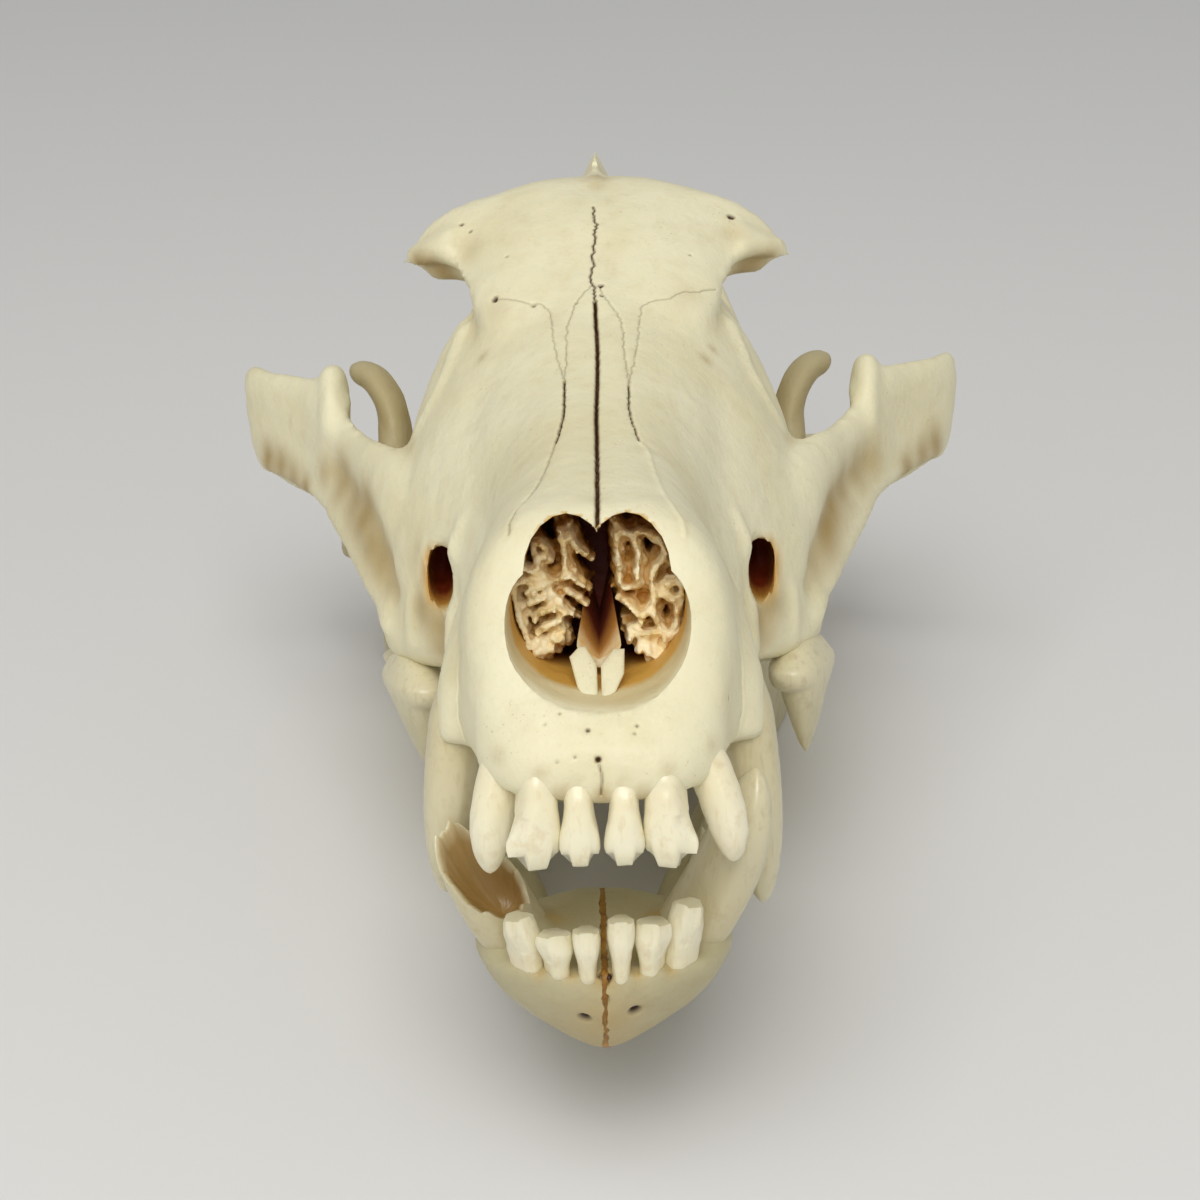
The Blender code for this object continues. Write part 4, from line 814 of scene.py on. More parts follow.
def dry_bone(name, pale, warm, tan, stain_and_shade, dirt, inner="cb9d45", deep_shade="7a2a08"):
    """Dry, macerated bone: ivory with warmer clouds, tan in its hollows that is partly dirt and partly
    painted shade, paler ridges as painted light, tan spots of stain and of painted shade, red-brown
    painted shade deep in the nose, brown dirt in its seams, fine pores, and a faint sheen where it is dense."""
    finish = bpy.data.materials.new(name)
    finish.use_nodes = True
    tree = finish.node_tree
    shader = tree.nodes["Principled BSDF"]
    place = add(tree, "ShaderNodeTexCoord").outputs["Object"]
    drawn_out = add(tree, "ShaderNodeMapping", inputs={0: place, 3: GRAIN_STRETCH}).outputs[0]
    noise = {}
    for what, (size, detail, rough, distort) in BONE_PATTERNS.items():
        noise[what] = add(tree, "ShaderNodeTexNoise", inputs={
            "Vector": drawn_out if what == "grain" else place, "Scale": 1000 / size, "Detail": detail,
            "Roughness": rough, "Distortion": distort}).outputs[0]
    stored = {what: add(tree, "ShaderNodeAttribute", {"attribute_name": what}).outputs["Fac"]
              for what in ("hollow", "stain_and_shade", "cavity", "depth", "crack")}
    dots = add(tree, "ShaderNodeMapRange", inputs={0: noise["pores"], 1: 0.66, 2: 0.78}).outputs[0]
    areas = add(tree, "ShaderNodeMapRange", inputs={0: noise["porous areas"], 1: 0.48, 2: 0.62}).outputs[0]
    porous = add(tree, "ShaderNodeMath", {"operation": "MULTIPLY"}, {0: dots, 1: areas}).outputs[0]
    # the two hollow layers are tan in the hollows, partly dirt and partly painted shade, and painted light
    # on the ridges; the depth layer is painted shade
    colour = layer_colours(tree, pale, [
        (noise["clouds"], 0.38, 0.68, 1.0, warm), (noise["mottle"], 0.52, 0.78, 0.3, tan),
        (stored["hollow"], 0.42, 0.95, 0.8, tan), (stored["hollow"], 0.28, 0.05, 0.55, pale),
        (stored["stain_and_shade"], 0.0, 1.0, 1.0, stain_and_shade), (noise["grain"], 0.56, 0.8, 0.22, tan),
        (porous, 0.0, 1.0, 0.6, stain_and_shade), (stored["cavity"], 0.0, 1.0, 1.0, inner),
        (stored["depth"], 0.0, 1.0, 1.0, deep_shade), (stored["crack"], 0.08, 0.6, 1.0, dirt)])
    tree.links.new(colour, shader.inputs["Base Color"])
    rough = add(tree, "ShaderNodeMapRange", inputs={0: noise["polish"], 1: 0.3, 2: 0.7, 3: 0.42, 4: 0.62})
    tree.links.new(rough.outputs[0], shader.inputs["Roughness"])
    shader.inputs["IOR"].default_value = 1.5
    shader.inputs["Subsurface Weight"].default_value = 0.12
    shader.inputs["Subsurface Radius"].default_value = (1.0, 0.7, 0.4)
    shader.inputs["Subsurface Scale"].default_value = 0.0015
    height = add(tree, "ShaderNodeMath", {"operation": "MULTIPLY_ADD"},
                 {0: porous, 1: -0.6, 2: noise["grain"]}).outputs[0]
    fine = add(tree, "ShaderNodeBump", inputs={"Strength": 0.35, "Distance": 0.0002, "Height": height})
    coarse = add(tree, "ShaderNodeBump", inputs={"Strength": 0.4, "Distance": 0.0006,
                                                 "Height": noise["lumps"], "Normal": fine.outputs[0]})
    tree.links.new(coarse.outputs[0], shader.inputs["Normal"])
    return finish


# cleaned skull bone: a pale, warm ivory that looks dry and only a little polished
SKULL_BONE = dry_bone("dry_skull_bone", "e9e2bf", "e1d7ad", "c8b482", "a88e58", "4a2c0c")

SHARP_EDGE = math.radians(50)
# the highest place of the solids above the floor, in metres
TOP_OF_SKULL = 0.1196


def finish_bone(piece, finish, slot, *nodes):
    """Tip a piece onto the floor, give it its finish and let it stand for its solids."""
    piece.data.transform(SKULL_TO_WORLD)
    points = coordinates(piece)
    points[:, 2] = np.clip(points[:, 2], 0.0, TOP_OF_SKULL)
    reshape(piece, points)
    piece.data.materials.clear()
    piece.data.materials.append(finish)
    piece.data.shade_smooth()
    piece.data.set_sharp_from_angle(angle=SHARP_EDGE)
    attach(piece, "root")
    if nodes:
        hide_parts(*nodes)


finish_bone(cranium, SKULL_BONE, "skull_bone", "muzzle", "braincase", "cheek_arch_left", "cheek_arch_right")


# Inside of the nose
# Paper-thin scrolls of bone hang from the side walls, stained ochre, with painted shade that turns
# them ochre in their gaps and brown farther in. Between them a grooved blade stands on the floor of
# the nose, and two pale plates of bone stand in front of it.

# rows: the leaf's outline from the front as x and z, how far back its front edge lies
SCROLLS_RIGHT = [
    ([(-12.6, 31.3), (-12.8, 27.7), (-12.1, 24.1), (-11.2, 21.0), (-9.5, 18.4)], 23.0),
    ([(-12.5, 31.3), (-11.0, 30.7), (-9.2, 29.7), (-8.3, 28.1), (-8.0, 26.6)], 25.0),
    ([(-12.4, 28.7), (-10.5, 28.9), (-9.5, 27.9), (-10.1, 26.9), (-10.9, 27.4)], 23.5),
    ([(-8.0, 26.6), (-7.3, 25.3), (-5.3, 24.2), (-3.6, 23.4)], 25.0),
    ([(-7.5, 28.1), (-6.8, 26.3), (-5.3, 25.5)], 26.0),
    ([(-9.9, 34.5), (-9.3, 32.0), (-8.5, 29.6), (-7.2, 28.3), (-5.2, 28.8), (-3.2, 29.8)], 26.5),
    ([(-5.6, 36.4), (-5.1, 33.1), (-4.9, 31.1), (-5.1, 29.1)], 27.0),
    ([(-4.3, 37.2), (-4.1, 35.2), (-3.1, 33.1), (-1.6, 32.0)], 27.5),
    ([(-4.2, 29.6), (-3.0, 28.0), (-2.0, 27.5)], 27.0),
    ([(-5.0, 27.3), (-3.8, 26.2), (-2.3, 25.4)], 26.0),
    ([(-12.3, 24.6), (-10.6, 25.6), (-8.6, 26.3), (-7.6, 26.0)], 24.0),
    ([(-9.7, 22.8), (-8.6, 24.3), (-6.3, 24.5)], 24.0),
    ([(-9.5, 20.9), (-7.7, 22.2), (-5.4, 22.9)], 23.5),
    ([(-9.0, 19.9), (-6.9, 20.9), (-5.1, 21.4)], 23.5),
    ([(-10.8, 19.9), (-10.3, 17.4)], 22.5), ([(-9.5, 20.2), (-9.5, 17.3)], 22.5),
    ([(-8.2, 20.4), (-8.5, 17.3)], 22.5), ([(-6.9, 20.9), (-7.0, 18.3)], 23.0),
    ([(-5.9, 21.4), (-5.4, 19.3)], 23.0),
    ([(-9.8, 34.4), (-8.6, 34.2), (-7.9, 33.2), (-8.2, 31.7)], 26.5),
]
SCROLLS_LEFT = [
    ([(12.2, 31.0), (12.6, 27.1), (12.1, 23.6), (11.0, 20.5), (9.2, 17.7)], 23.0),
    ([(6.5, 35.7), (8.5, 35.1), (9.7, 34.1), (10.2, 32.1), (8.7, 30.3), (8.1, 28.3), (8.3, 25.2),
      (6.5, 23.2)], 25.5),
    ([(5.6, 34.4), (6.2, 32.1), (5.9, 29.8), (6.3, 27.3)], 26.5),
    ([(3.0, 36.0), (3.0, 32.5), (3.4, 29.4), (3.3, 27.6), (4.8, 27.1), (6.3, 27.3)], 27.0),
    ([(2.5, 37.8), (3.5, 36.0), (5.0, 35.2), (6.5, 35.7)], 27.0),
    ([(2.8, 25.8), (4.8, 24.8), (6.5, 23.2), (8.3, 24.7), (9.1, 26.2)], 25.0),
    ([(12.5, 28.4), (10.4, 28.2), (9.4, 27.2), (10.1, 26.2), (11.1, 26.7)], 23.5),
    ([(10.6, 27.7), (11.3, 25.9), (11.8, 24.3), (12.0, 20.5)], 23.5),
    ([(6.5, 23.2), (6.0, 21.6), (4.2, 21.2)], 24.0),
    ([(8.3, 24.2), (9.0, 21.8), (10.2, 20.5)], 23.5),
    ([(4.7, 21.7), (5.9, 20.6), (8.2, 20.6), (10.3, 21.0)], 23.5),
    ([(6.2, 21.0), (5.9, 17.8)], 22.5), ([(7.2, 21.0), (7.4, 16.5)], 22.5),
    ([(8.5, 21.0), (8.6, 16.2)], 22.5), ([(9.7, 20.9), (10.2, 16.9)], 22.5),
    ([(5.0, 21.6), (4.4, 19.1)], 23.0),
]
LEAF_DEPTH = 11.0
# thicker than the real leaves, which are thinner than a grid can fuse
LEAF_WALL = 1.05
SCROLL_GRID = 0.34
# layers of leaves: how far behind the first, shift in x and z, number of its first random edge
LEAF_LAYERS = [(0.0, (0.0, 0.0), 0), (3.2, (0.9, -1.1), 50), (6.4, (-0.8, 1.0), 90)]


def leaf(outline, front, shift, seed):
    """Thin bone leaf: its outline is carried back along y, its front edge is ragged by random
    steps, and it sways by a slow sine; front, back and both faces close it."""
    draw = np.random.default_rng(seed)
    line = stations(outline, 9 * len(outline)) + shift
    count = len(line)
    back = np.linspace(0, 1, 10)[:, None]
    coarse = draw.uniform(-1.7, 1.7, count // 4 + 2)
    ragged = np.interp(np.arange(count) / 4, np.arange(len(coarse)), coarse)
    ragged += draw.uniform(-0.7, 0.7, count)
    y = front + ragged + back * (LEAF_DEPTH - ragged)
    sway = 0.5 * np.sin(back * 6 + seed) * back
    run = np.gradient(line, axis=0)
    run /= np.linalg.norm(run, axis=1, keepdims=True)
    wall = LEAF_WALL / 2 * (0.75 + 0.5 * draw.random(count)) * (0.6 + 0.4 * np.minimum(back * 3, 1))
    centre_x, centre_z = line[:, 0] + sway, line[:, 1] + 0.6 * sway
    one = np.stack([centre_x - run[:, 1] * wall, y, centre_z + run[:, 0] * wall], axis=-1)
    two = np.stack([centre_x + run[:, 1] * wall, y, centre_z - run[:, 0] * wall], axis=-1)
    return np.concatenate([one, two[:, ::-1]], axis=1)


def nasal_finish(name, pale, ochre, deep_brown_shade, crevice_stain_and_shade):
    """Thin bone that dirt has stained in ochre patches: pale at the front and on its edges, ochre in its
    crevices, partly stain and partly painted shade, and red-brown painted shade farther in."""
    finish = bpy.data.materials.new(name)
    finish.use_nodes = True
    tree = finish.node_tree
    shader = tree.nodes["Principled BSDF"]
    place = add(tree, "ShaderNodeTexCoord").outputs["Object"]
    patches = add(tree, "ShaderNodeTexNoise", inputs={"Vector": place, "Scale": 1000 / 3.5, "Detail": 4.0,
                                                      "Roughness": 0.6}).outputs[0]
    fine = add(tree, "ShaderNodeTexNoise",
               inputs={"Vector": place, "Scale": 1000 / 0.7, "Detail": 3.0}).outputs[0]
    hollow = add(tree, "ShaderNodeAttribute", {"attribute_name": "hollow"}).outputs["Fac"]
    depth = add(tree, "ShaderNodeAttribute", {"attribute_name": "depth"}).outputs["Fac"]
    # the crevice layer is partly stain and partly painted shade; the deep layer is painted shade
    colour = layer_colours(tree, pale, [(patches, 0.35, 0.65, 1.0, ochre), (hollow, 0.0, 1.0, 1.0, crevice_stain_and_shade),
                                        (depth, 0.0, 1.0, 1.0, deep_brown_shade)])
    tree.links.new(colour, shader.inputs["Base Color"])
    shader.inputs["Subsurface Weight"].default_value = 0.2
    shader.inputs["Subsurface Radius"].default_value = (1.0, 0.6, 0.25)
    shader.inputs["Subsurface Scale"].default_value = 0.001
    rough = add(tree, "ShaderNodeMapRange", inputs={0: fine, 1: 0.3, 2: 0.7, 3: 0.45, 4: 0.7}).outputs[0]
    tree.links.new(rough, shader.inputs["Roughness"])
    bump = add(tree, "ShaderNodeBump", inputs={"Strength": 0.5, "Distance": 0.0003, "Height": fine})
    tree.links.new(bump.outputs[0], shader.inputs["Normal"])
    return finish


# scroll bone: crumbly, cream at the front, ochre in its gaps as stain and painted shade, and red-brown
# painted shade farther in
SCROLL_BONE = nasal_finish("stained_shaded_scroll_bone", "fbf0cc", "ecd49a", "8a430c", "d6a44c")
# blade bone: smooth and cream in front, with red-brown painted shade farther in
BLADE_BONE = nasal_finish("stained_shaded_blade_bone", "f6edcc", "e0c283", "6e2606", "cf9c48")

# the front of the scrolls leans back as it climbs: its y at the lowest z, and its slope
SCROLL_FRONT_Y = 22.4
SCROLL_LOW_Z = 17.0
SCROLL_SLOPE = 0.28

for label, leaves in (("right", SCROLLS_RIGHT), ("left", SCROLLS_LEFT)):
    scrolls = skins([leaf(outline, front + behind, shift, first + number)
                     for behind, shift, first in LEAF_LAYERS
                     for number, (outline, front) in enumerate(leaves)], f"scrolls_{label}")
    fuse(scrolls, SCROLL_GRID, 1)
    smooth = coordinates(scrolls)
    crumbly = 0.17 * ripple(smooth, 1.7, 8) + 0.09 * ripple(smooth, 0.9, 9)
    reshape(scrolls, smooth + facing(scrolls) * crumbly[:, None])
    places = coordinates(scrolls)
    # painted shade: the scrolls turn ochre in their crevices and farther back, and red-brown deeper in
    behind_front = places[:, 1] - SCROLL_FRONT_Y - SCROLL_SLOPE * (places[:, 2] - SCROLL_LOW_Z)
    keep_attribute(scrolls, "hollow", behind_front / 6.5 + hollows(scrolls, 20) / 1.4)
    keep_attribute(scrolls, "depth", (behind_front - 4.5) / 13.0)
    finish_bone(scrolls, SCROLL_BONE, "nasal_bone", f"nasal_scrolls_{label}")

# rows: y, half width at the top, top, bottom, hollow of the groove
VOMER = [(20.4, 3.3, 19.8, 13.0, 2.2), (22.0, 3.2, 20.6, 13.2, 3.4), (26.0, 2.7, 22.8, 13.5, 5.0),
         (32.0, 2.1, 25.6, 14.0, 6.4), (44.0, 1.6, 28.0, 14.5, 7.0)]


def trough(table, wall=0.55, steps=30):
    """Grooved blade: each station is a V of two thin walls that meet at the bottom."""
    rows = stations(table, steps)
    arm = np.linspace(-1, 1, 17)
    x = rows[:, 1, None] * np.sign(arm) * np.abs(arm) ** 1.6
    z = rows[:, 2, None] - rows[:, 4, None] * (1 - np.abs(arm) ** 1.8)
    y = rows[:, 0, None] - 0.7 * np.abs(arm) ** 3 + 0 * x
    upper = np.stack([x, y, z], axis=-1)
    low_x = rows[:, 1, None] * arm[::-1] * 0.9
    lower = np.stack([low_x, rows[:, 0, None] + 0 * low_x,
                      np.maximum(z[:, ::-1] - wall * 2.2, rows[:, 3, None])], axis=-1)
    return np.concatenate([upper, lower], axis=1)


blade = skins([trough(VOMER)], "nose_blade")
back_along_blade = coordinates(blade)[:, 1]
# painted shade: the blade turns ochre and then red-brown farther back in the nose
keep_attribute(blade, "hollow", (back_along_blade - 20.6) / 4.5)
keep_attribute(blade, "depth", (back_along_blade - 22.0) / 9.0)
finish_bone(blade, BLADE_BONE, "nasal_bone", "nasal_blade")

# outlines from the front, as x and z
PLATE_RIGHT = [(-4.4, 18.6), (-3.0, 19.8), (-2.0, 19.8), (-0.35, 17.6), (-0.2, 13.4), (-1.8, 13.5),
               (-3.2, 14.8)]
PLATE_LEFT = [(0.25, 17.6), (2.2, 19.5), (3.8, 19.5), (3.7, 16.6), (2.4, 14.4), (0.3, 13.3)]
PLATE_THICKNESS = 0.9
PLATE_TILT = 1.25


def plate(outline, y, thick, tilt):
    """Flat chip of bone: its outline shrinks to its middle over five rings on the front face, bulging
    slightly, and the same on the back face."""
    ring = np.asarray(outline)
    ring = np.concatenate([ring, ring[:1]])
    around = np.linspace(0, len(outline), 36, endpoint=False)
    edge = np.stack([np.interp(around, np.arange(len(ring)), ring[:, i]) for i in range(2)], axis=-1)
    middle = edge.mean(axis=0)
    share = np.array([0.02, 0.4, 0.75, 0.93, 1.0, 1.0, 0.93, 0.5, 0.02])[:, None]
    push = np.array([-1.0, -0.95, -0.8, -0.5, -0.1, 0.3, 0.6, 0.8, 0.8])[:, None] * thick
    x = middle[0] + (edge[:, 0] - middle[0]) * share
    z = middle[1] + (edge[:, 1] - middle[1]) * share
    return np.stack([x, y + push + tilt * (z - middle[1]), z], axis=-1)


plates = skins([plate(PLATE_RIGHT, 15.0, PLATE_THICKNESS, PLATE_TILT),
                plate(PLATE_LEFT, 14.8, PLATE_THICKNESS, PLATE_TILT)], "nose_plates")
finish_bone(plates, SKULL_BONE, "nasal_bone")


# Lower jaws
# Two bones that meet at the chin in a ragged seam which never closes. They hang a little open at
# the joint and a little to the animal's right, and carry the skull's weight on their lower edges.

JAW_CONDYLE_Y = 197.0
JAW_CONDYLE_Z = 8.0
JAW_OPENING = math.radians(4.5)
JAW_YAW = math.radians(0.6)
JAW_YAW_PIVOT_Y = -8.0

# the animal's left jaw: the body and the upright rear are plates, the chin is a trunk, the rest limbs
JAW_BODY = [
    (9.6, 22.0, -13.0, -21.6, 5.0, 4.0),
    (10.4, 31.0, -12.4, -25.0, 5.4, 4.0),
    (11.6, 40.0, -12.0, -28.0, 5.4, 3.0),
    (13.4, 52.0, -12.0, -30.2, 5.2, 2.0),
    (16.8, 70.0, -12.0, -32.0, 5.0, 1.4),
    (20.4, 90.0, -11.6, -33.6, 4.8, 1.2),
    (23.4, 110.0, -10.8, -35.4, 4.6, 1.2),
    (25.4, 128.0, -9.0, -36.0, 4.2, 1.4),
    (27.6, 142.0, -6.0, -35.2, 3.6, 1.6),
    (31.2, 156.0, -10.0, -33.4, 3.0, 1.8),
]

CHIN = [
    (8.8, 4.6, -13.9, -18.0, -15.0, 3.0, 1.8, 0.0),
    (10.4, 9.0, -13.8, -21.4, -15.0, 3.4, 1.7, 0.0),
    (13.0, 13.2, -13.6, -24.8, -14.8, 3.6, 1.55, 0.0),
    (17.0, 16.8, -13.0, -28.6, -15.6, 2.6, 1.45, 0.0),
    (22.0, 18.8, -12.2, -31.4, -16.0, 2.2, 1.4, 0.0),
    (28.0, 19.4, -11.6, -33.4, -16.0, 2.2, 1.35, 0.0),
    (35.0, 17.0, -11.0, -34.8, -16.4, 2.2, 1.3, 0.0),
    (41.0, 13.0, -11.8, -33.0, -18.0, 2.0, 1.4, 0.0),
]

JAW_RAMUS = [
    (26.0, 131.0, -9.0, -33.0, 3.6, 1.2),
    (29.0, 143.0, 3.0, -33.5, 3.2, 1.6),
    (33.0, 154.0, 20.0, -32.2, 3.0, 2.8),
    (36.4, 164.0, 33.0, -30.8, 3.0, 3.6),
    (38.2, 173.0, 40.0, -29.5, 3.0, 2.8),
    (39.4, 180.0, 41.0, -28.0, 2.8, 1.8),
    (40.2, 185.5, 36.0, -27.0, 2.7, 1.4),
    (40.8, 189.0, 26.0, -26.0, 2.8, 1.0),
    (41.4, 192.0, 12.0, -25.0, 3.4, 0.6),
    (42.0, 197.0, 8.0, -14.0, 3.4, 0.0),
]

CORONOID_TIP = [
    (37.6, 168.0, 16.0, 9.0, 2.6),
    (38.2, 171.5, 27.0, 8.6, 2.8),
    (38.8, 174.5, 35.0, 7.8, 3.0),
    (40.4, 177.5, 41.4, 6.6, 3.0),
    (43.4, 180.5, 45.6, 4.8, 2.9),
    (46.6, 182.5, 46.4, 3.0, 2.4),
    (48.0, 183.2, 45.8, 1.4, 1.2),
]

JAW_CONDYLE = [
    (31.5, JAW_CONDYLE_Y + 1.6, JAW_CONDYLE_Z - 1.0, 3.2, 3.2),
    (35.5, JAW_CONDYLE_Y + 1.0, JAW_CONDYLE_Z - 0.6, 4.6, 4.6),
    (42.0, JAW_CONDYLE_Y, JAW_CONDYLE_Z, 5.2, 5.2),
    (48.5, JAW_CONDYLE_Y - 1.0, JAW_CONDYLE_Z + 0.4, 4.6, 4.6),
    (52.5, JAW_CONDYLE_Y - 1.6, JAW_CONDYLE_Z + 0.6, 3.0, 3.0),
]

JAW_ANGLE = [
    (37.0, 182.0, -21.0, 6.4, 2.8),
    (38.2, 191.0, -21.0, 6.0, 3.0),
    (39.2, 199.0, -20.5, 4.6, 3.0),
    (39.8, 205.0, -18.5, 3.2, 2.4),
    (40.0, 209.0, -16.0, 1.4, 1.4),
]

# the swelling that holds the root of the long lower tooth
SOCKET_CENTRE = (13.2, 26.5, -14.8)
SOCKET_RADII = (6.8, 9.0, 5.2)

CHIN_SEAM = [(0.0, 9.0, -13.5), (0.1, 11.0, -18.0), (-0.2, 15.0, -24.0), (0.2, 21.0, -30.0),
             (0.0, 30.0, -33.5)]
# rows: place, half width, depth, darkness
CHIN_PITS = [((-3.1, 11.5, -21.6), 0.9, 1.4, 1.0), ((4.4, 11.0, -20.4), 0.9, 1.4, 1.0),
             ((-6.6, 12.5, -19.0), 0.4, 0.5, 0.7), ((-5.8, 12.2, -19.3), 0.4, 0.5, 0.7),
             ((7.4, 12.4, -18.2), 0.4, 0.5, 0.7), ((8.4, 12.8, -18.0), 0.35, 0.4, 0.6),
             ((17.6, 34.0, -24.0), 1.2, 1.6, 1.0), ((-17.6, 34.0, -24.0), 1.2, 1.6, 1.0),
             ((18.4, 52.0, -22.0), 1.0, 1.4, 1.0), ((-18.4, 52.0, -22.0), 1.0, 1.4, 1.0)]
# rows: place, reach, strength
CHIN_STAINS = [((0.0, 9.2, -14.4), 1.8, 0.95), ((5.0, 9.8, -14.2), 1.2, 0.8),
               ((-5.0, 9.8, -14.2), 1.2, 0.8), ((9.8, 11.6, -14.4), 1.4, 0.7),
               ((-9.8, 11.6, -14.4), 1.4, 0.7), ((0.0, 15.0, -24.0), 8.0, 0.3),
               ((8.6, 27.0, -11.8), 2.4, 0.9), ((-8.6, 27.0, -11.8), 2.4, 0.9),
               ((0.0, 10.5, -22.0), 5.0, 0.5), ((0.0, 18.0, -30.0), 6.0, 0.4),
               ((30.0, 150.0, -28.0), 12.0, 0.4), ((-30.0, 150.0, -28.0), 12.0, 0.4),
               ((39.0, 178.0, 36.0), 14.0, 0.5), ((-39.0, 178.0, 36.0), 14.0, 0.5)]


def open_jaw():
    """Turn about the joint, then a little sideways, as the jaw hangs."""
    hinge = Matrix.Translation((0.0, JAW_CONDYLE_Y, JAW_CONDYLE_Z))
    pivot = Matrix.Translation((0.0, JAW_YAW_PIVOT_Y, 0.0))
    return (pivot @ Matrix.Rotation(JAW_YAW, 4, "Z") @ pivot.inverted()
            @ hinge @ Matrix.Rotation(JAW_OPENING, 4, "X") @ hinge.inverted())


# jaw bone: greyer than the skull and darker, the darkness partly painted shade of the jaw, which faces down,
# with tan round the teeth
JAW_BONE_WITH_SHADE = dry_bone("dry_jaw_bone_with_shade", "bcb38e", "afa37a", "9a8654", "b89a5c", "3a1a06")
JAW_GRID = 0.8
SYMPHYSIS_GAP = 0.5
# farther than any bone reaches, for the ends of a cutting slab
FAR = 400.0
# rows: path, half width, depth (negative stands proud)
CHIN_STROKES = [
    ([(0.0, 9.0, -14.0), (0.0, 15.0, -23.0), (0.0, 26.0, -31.0)], 1.2, 0.5),
    ([(2.6, 9.0, -14.0), (2.6, 10.6, -17.4)], 1.5, -0.4),
    ([(7.4, 10.2, -14.0), (6.6, 12.0, -17.8)], 1.8, -0.5),
    ([(5.0, 9.6, -13.8), (4.8, 10.4, -16.0)], 0.8, 0.6),
    ([(10.0, 11.4, -13.8), (9.2, 12.6, -16.2)], 0.8, 0.6),
    ([(18.8, 60.0, -22.0), (22.0, 80.0, -24.0), (25.0, 100.0, -24.0)], 5.0, 0.7),
    ([(36.0, 160.0, 6.0), (39.6, 174.0, 12.0), (41.0, 182.0, 0.0)], 8.0, 1.6),
]
chin_seam = [(jagged(CHIN_SEAM, 0.5, 31), 0.7, 0.5, 0.9)]


def slab(low, high):
    """Upright slab between two x values that is endless in y and z, to keep only a part of a form."""
    corner = np.array([(low, -FAR), (low, FAR), (high, FAR), (high, -FAR)])
    return np.stack([np.column_stack([corner, np.full(4, z)]) for z in (-FAR, FAR)])


for label, side in (("left", 1), ("right", -1)):
    limbs = [strap(JAW_BODY, 90, 3.0), strap(JAW_RAMUS, 90), horn(CORONOID_TIP), horn(JAW_CONDYLE),
             horn(JAW_ANGLE, along=(0.0, 0.0, 1.0)), ball(SOCKET_CENTRE, SOCKET_RADII)]
    if side < 0:
        limbs = [other_side(limb) for limb in limbs]
    jaw = skins([trunk(CHIN, 60)] + limbs, f"lower_jaw_bone_{label}")
    fuse(jaw, JAW_GRID, 4)
    carve(jaw, [slab(side * SYMPHYSIS_GAP / 2, side * FAR)], "INTERSECT")
    sculpt(jaw, CHIN_STROKES)
    refine(jaw, near_features(chin_seam, [], 2.0), 2)
    refine(jaw, near_features([], CHIN_PITS, 1.2), 2)
    # the edge along the split is drawn back by a ragged amount
    spots = coordinates(jaw)
    split = np.exp(-((np.abs(spots[:, 0]) - SYMPHYSIS_GAP / 2) / 0.5) ** 2)
    ragged = 0.25 + 0.22 * ripple(spots, 2.2, 12 + side) + 0.12 * ripple(spots, 0.9, 14 + side)
    spots[:, 0] += side * split * ragged
    reshape(jaw, spots)
    bone_surface(jaw, chin_seam, CHIN_PITS, CHIN_STAINS)
    jaw.data.transform(open_jaw())
    finish_bone(jaw, JAW_BONE_WITH_SHADE, "jaw_bone", f"lower_jaw_{label}")


# Gristle of the chin
# A dried brown sheet of ligament is all that holds the two lower jaws together. It is the middle
# slice of the chin's own form, a little smaller and set back, so that it shows only in the split.

GRISTLE_HALF = 0.55
GRISTLE_GRID = 0.5
GRISTLE_SCALE = (1.0, 0.985, 1.0)
GRISTLE_SHIFT = (0.0, 0.9, -0.25)

gristle = skins([trunk(CHIN, 60) * GRISTLE_SCALE + GRISTLE_SHIFT], "chin_gristle")
fuse(gristle, GRISTLE_GRID, 6)
carve(gristle, [slab(-GRISTLE_HALF, GRISTLE_HALF)], "INTERSECT")
gristle.data.transform(open_jaw())
# dried gristle: dull amber to brown, like old glue
GRISTLE = nasal_finish("dried_chin_gristle", "b98a3c", "8a5a1e", "5c1c08", "8a5a1e")
finish_bone(gristle, GRISTLE, "jaw_bone")


# Teeth
# Enamel crowns over yellower necks and roots, each set in its own socket. The front teeth are
# three-lobed chisels, the four long teeth are curved spikes, and the cheek teeth are shearing
# blades with crushing teeth behind them. One lower spike, on the animal's right, broke short.

# rows: x, y, gum z, tip x, tip y, tip z, length along the row, width across, row angle, and for the
# chisels the share of the width left at the neck and how far the outer lobe stands out
UPPER_FRONT = [
    (3.3, 1.8, 1.3, 3.2, -0.1, -8.5, 5.9, 6.8, 90.0, 0.72, 0.0),
    (9.3, 3.1, 2.9, 9.6, 1.0, -9.2, 7.0, 7.6, 72.0, 0.8, 0.3),
]
LOWER_FRONT = [
    (2.5, 10.9, -14.2, 2.6, 7.8, -6.2, 4.2, 6.0, 90.0, 0.66, 0.0),
    (7.2, 12.3, -14.2, 7.4, 9.4, -7.2, 5.4, 6.4, 72.0, 0.62, 0.1),
    (11.6, 14.6, -14.4, 12.7, 11.2, -5.0, 5.0, 6.0, 48.0, 0.74, 0.1),
]
# rows of spikes, by side, have the same first nine numbers
UPPER_THIRD = {1: (15.6, 8.4, 4.4, 19.2, 7.8, -10.6, 6.9, 6.2, 44.0),
               -1: (14.6, 8.4, 4.0, 16.6, 7.8, -11.6, 6.9, 6.2, 44.0)}
UPPER_CANINE = {1: (22.0, 30.5, 6.0, 24.6, 33.2, -24.4, 12.6, 9.0, 8.0),
                -1: (22.0, 30.5, 6.0, 24.8, 33.0, -21.6, 12.6, 9.0, 8.0)}
LOWER_CANINE = (14.2, 24.6, -12.0, 23.4, 17.4, 15.2, 13.8, 9.8, 34.0)
# the lower front teeth of the animal's left are less worn, so their tips are this much higher
LEFT_LOWER_LIFT = 1.6

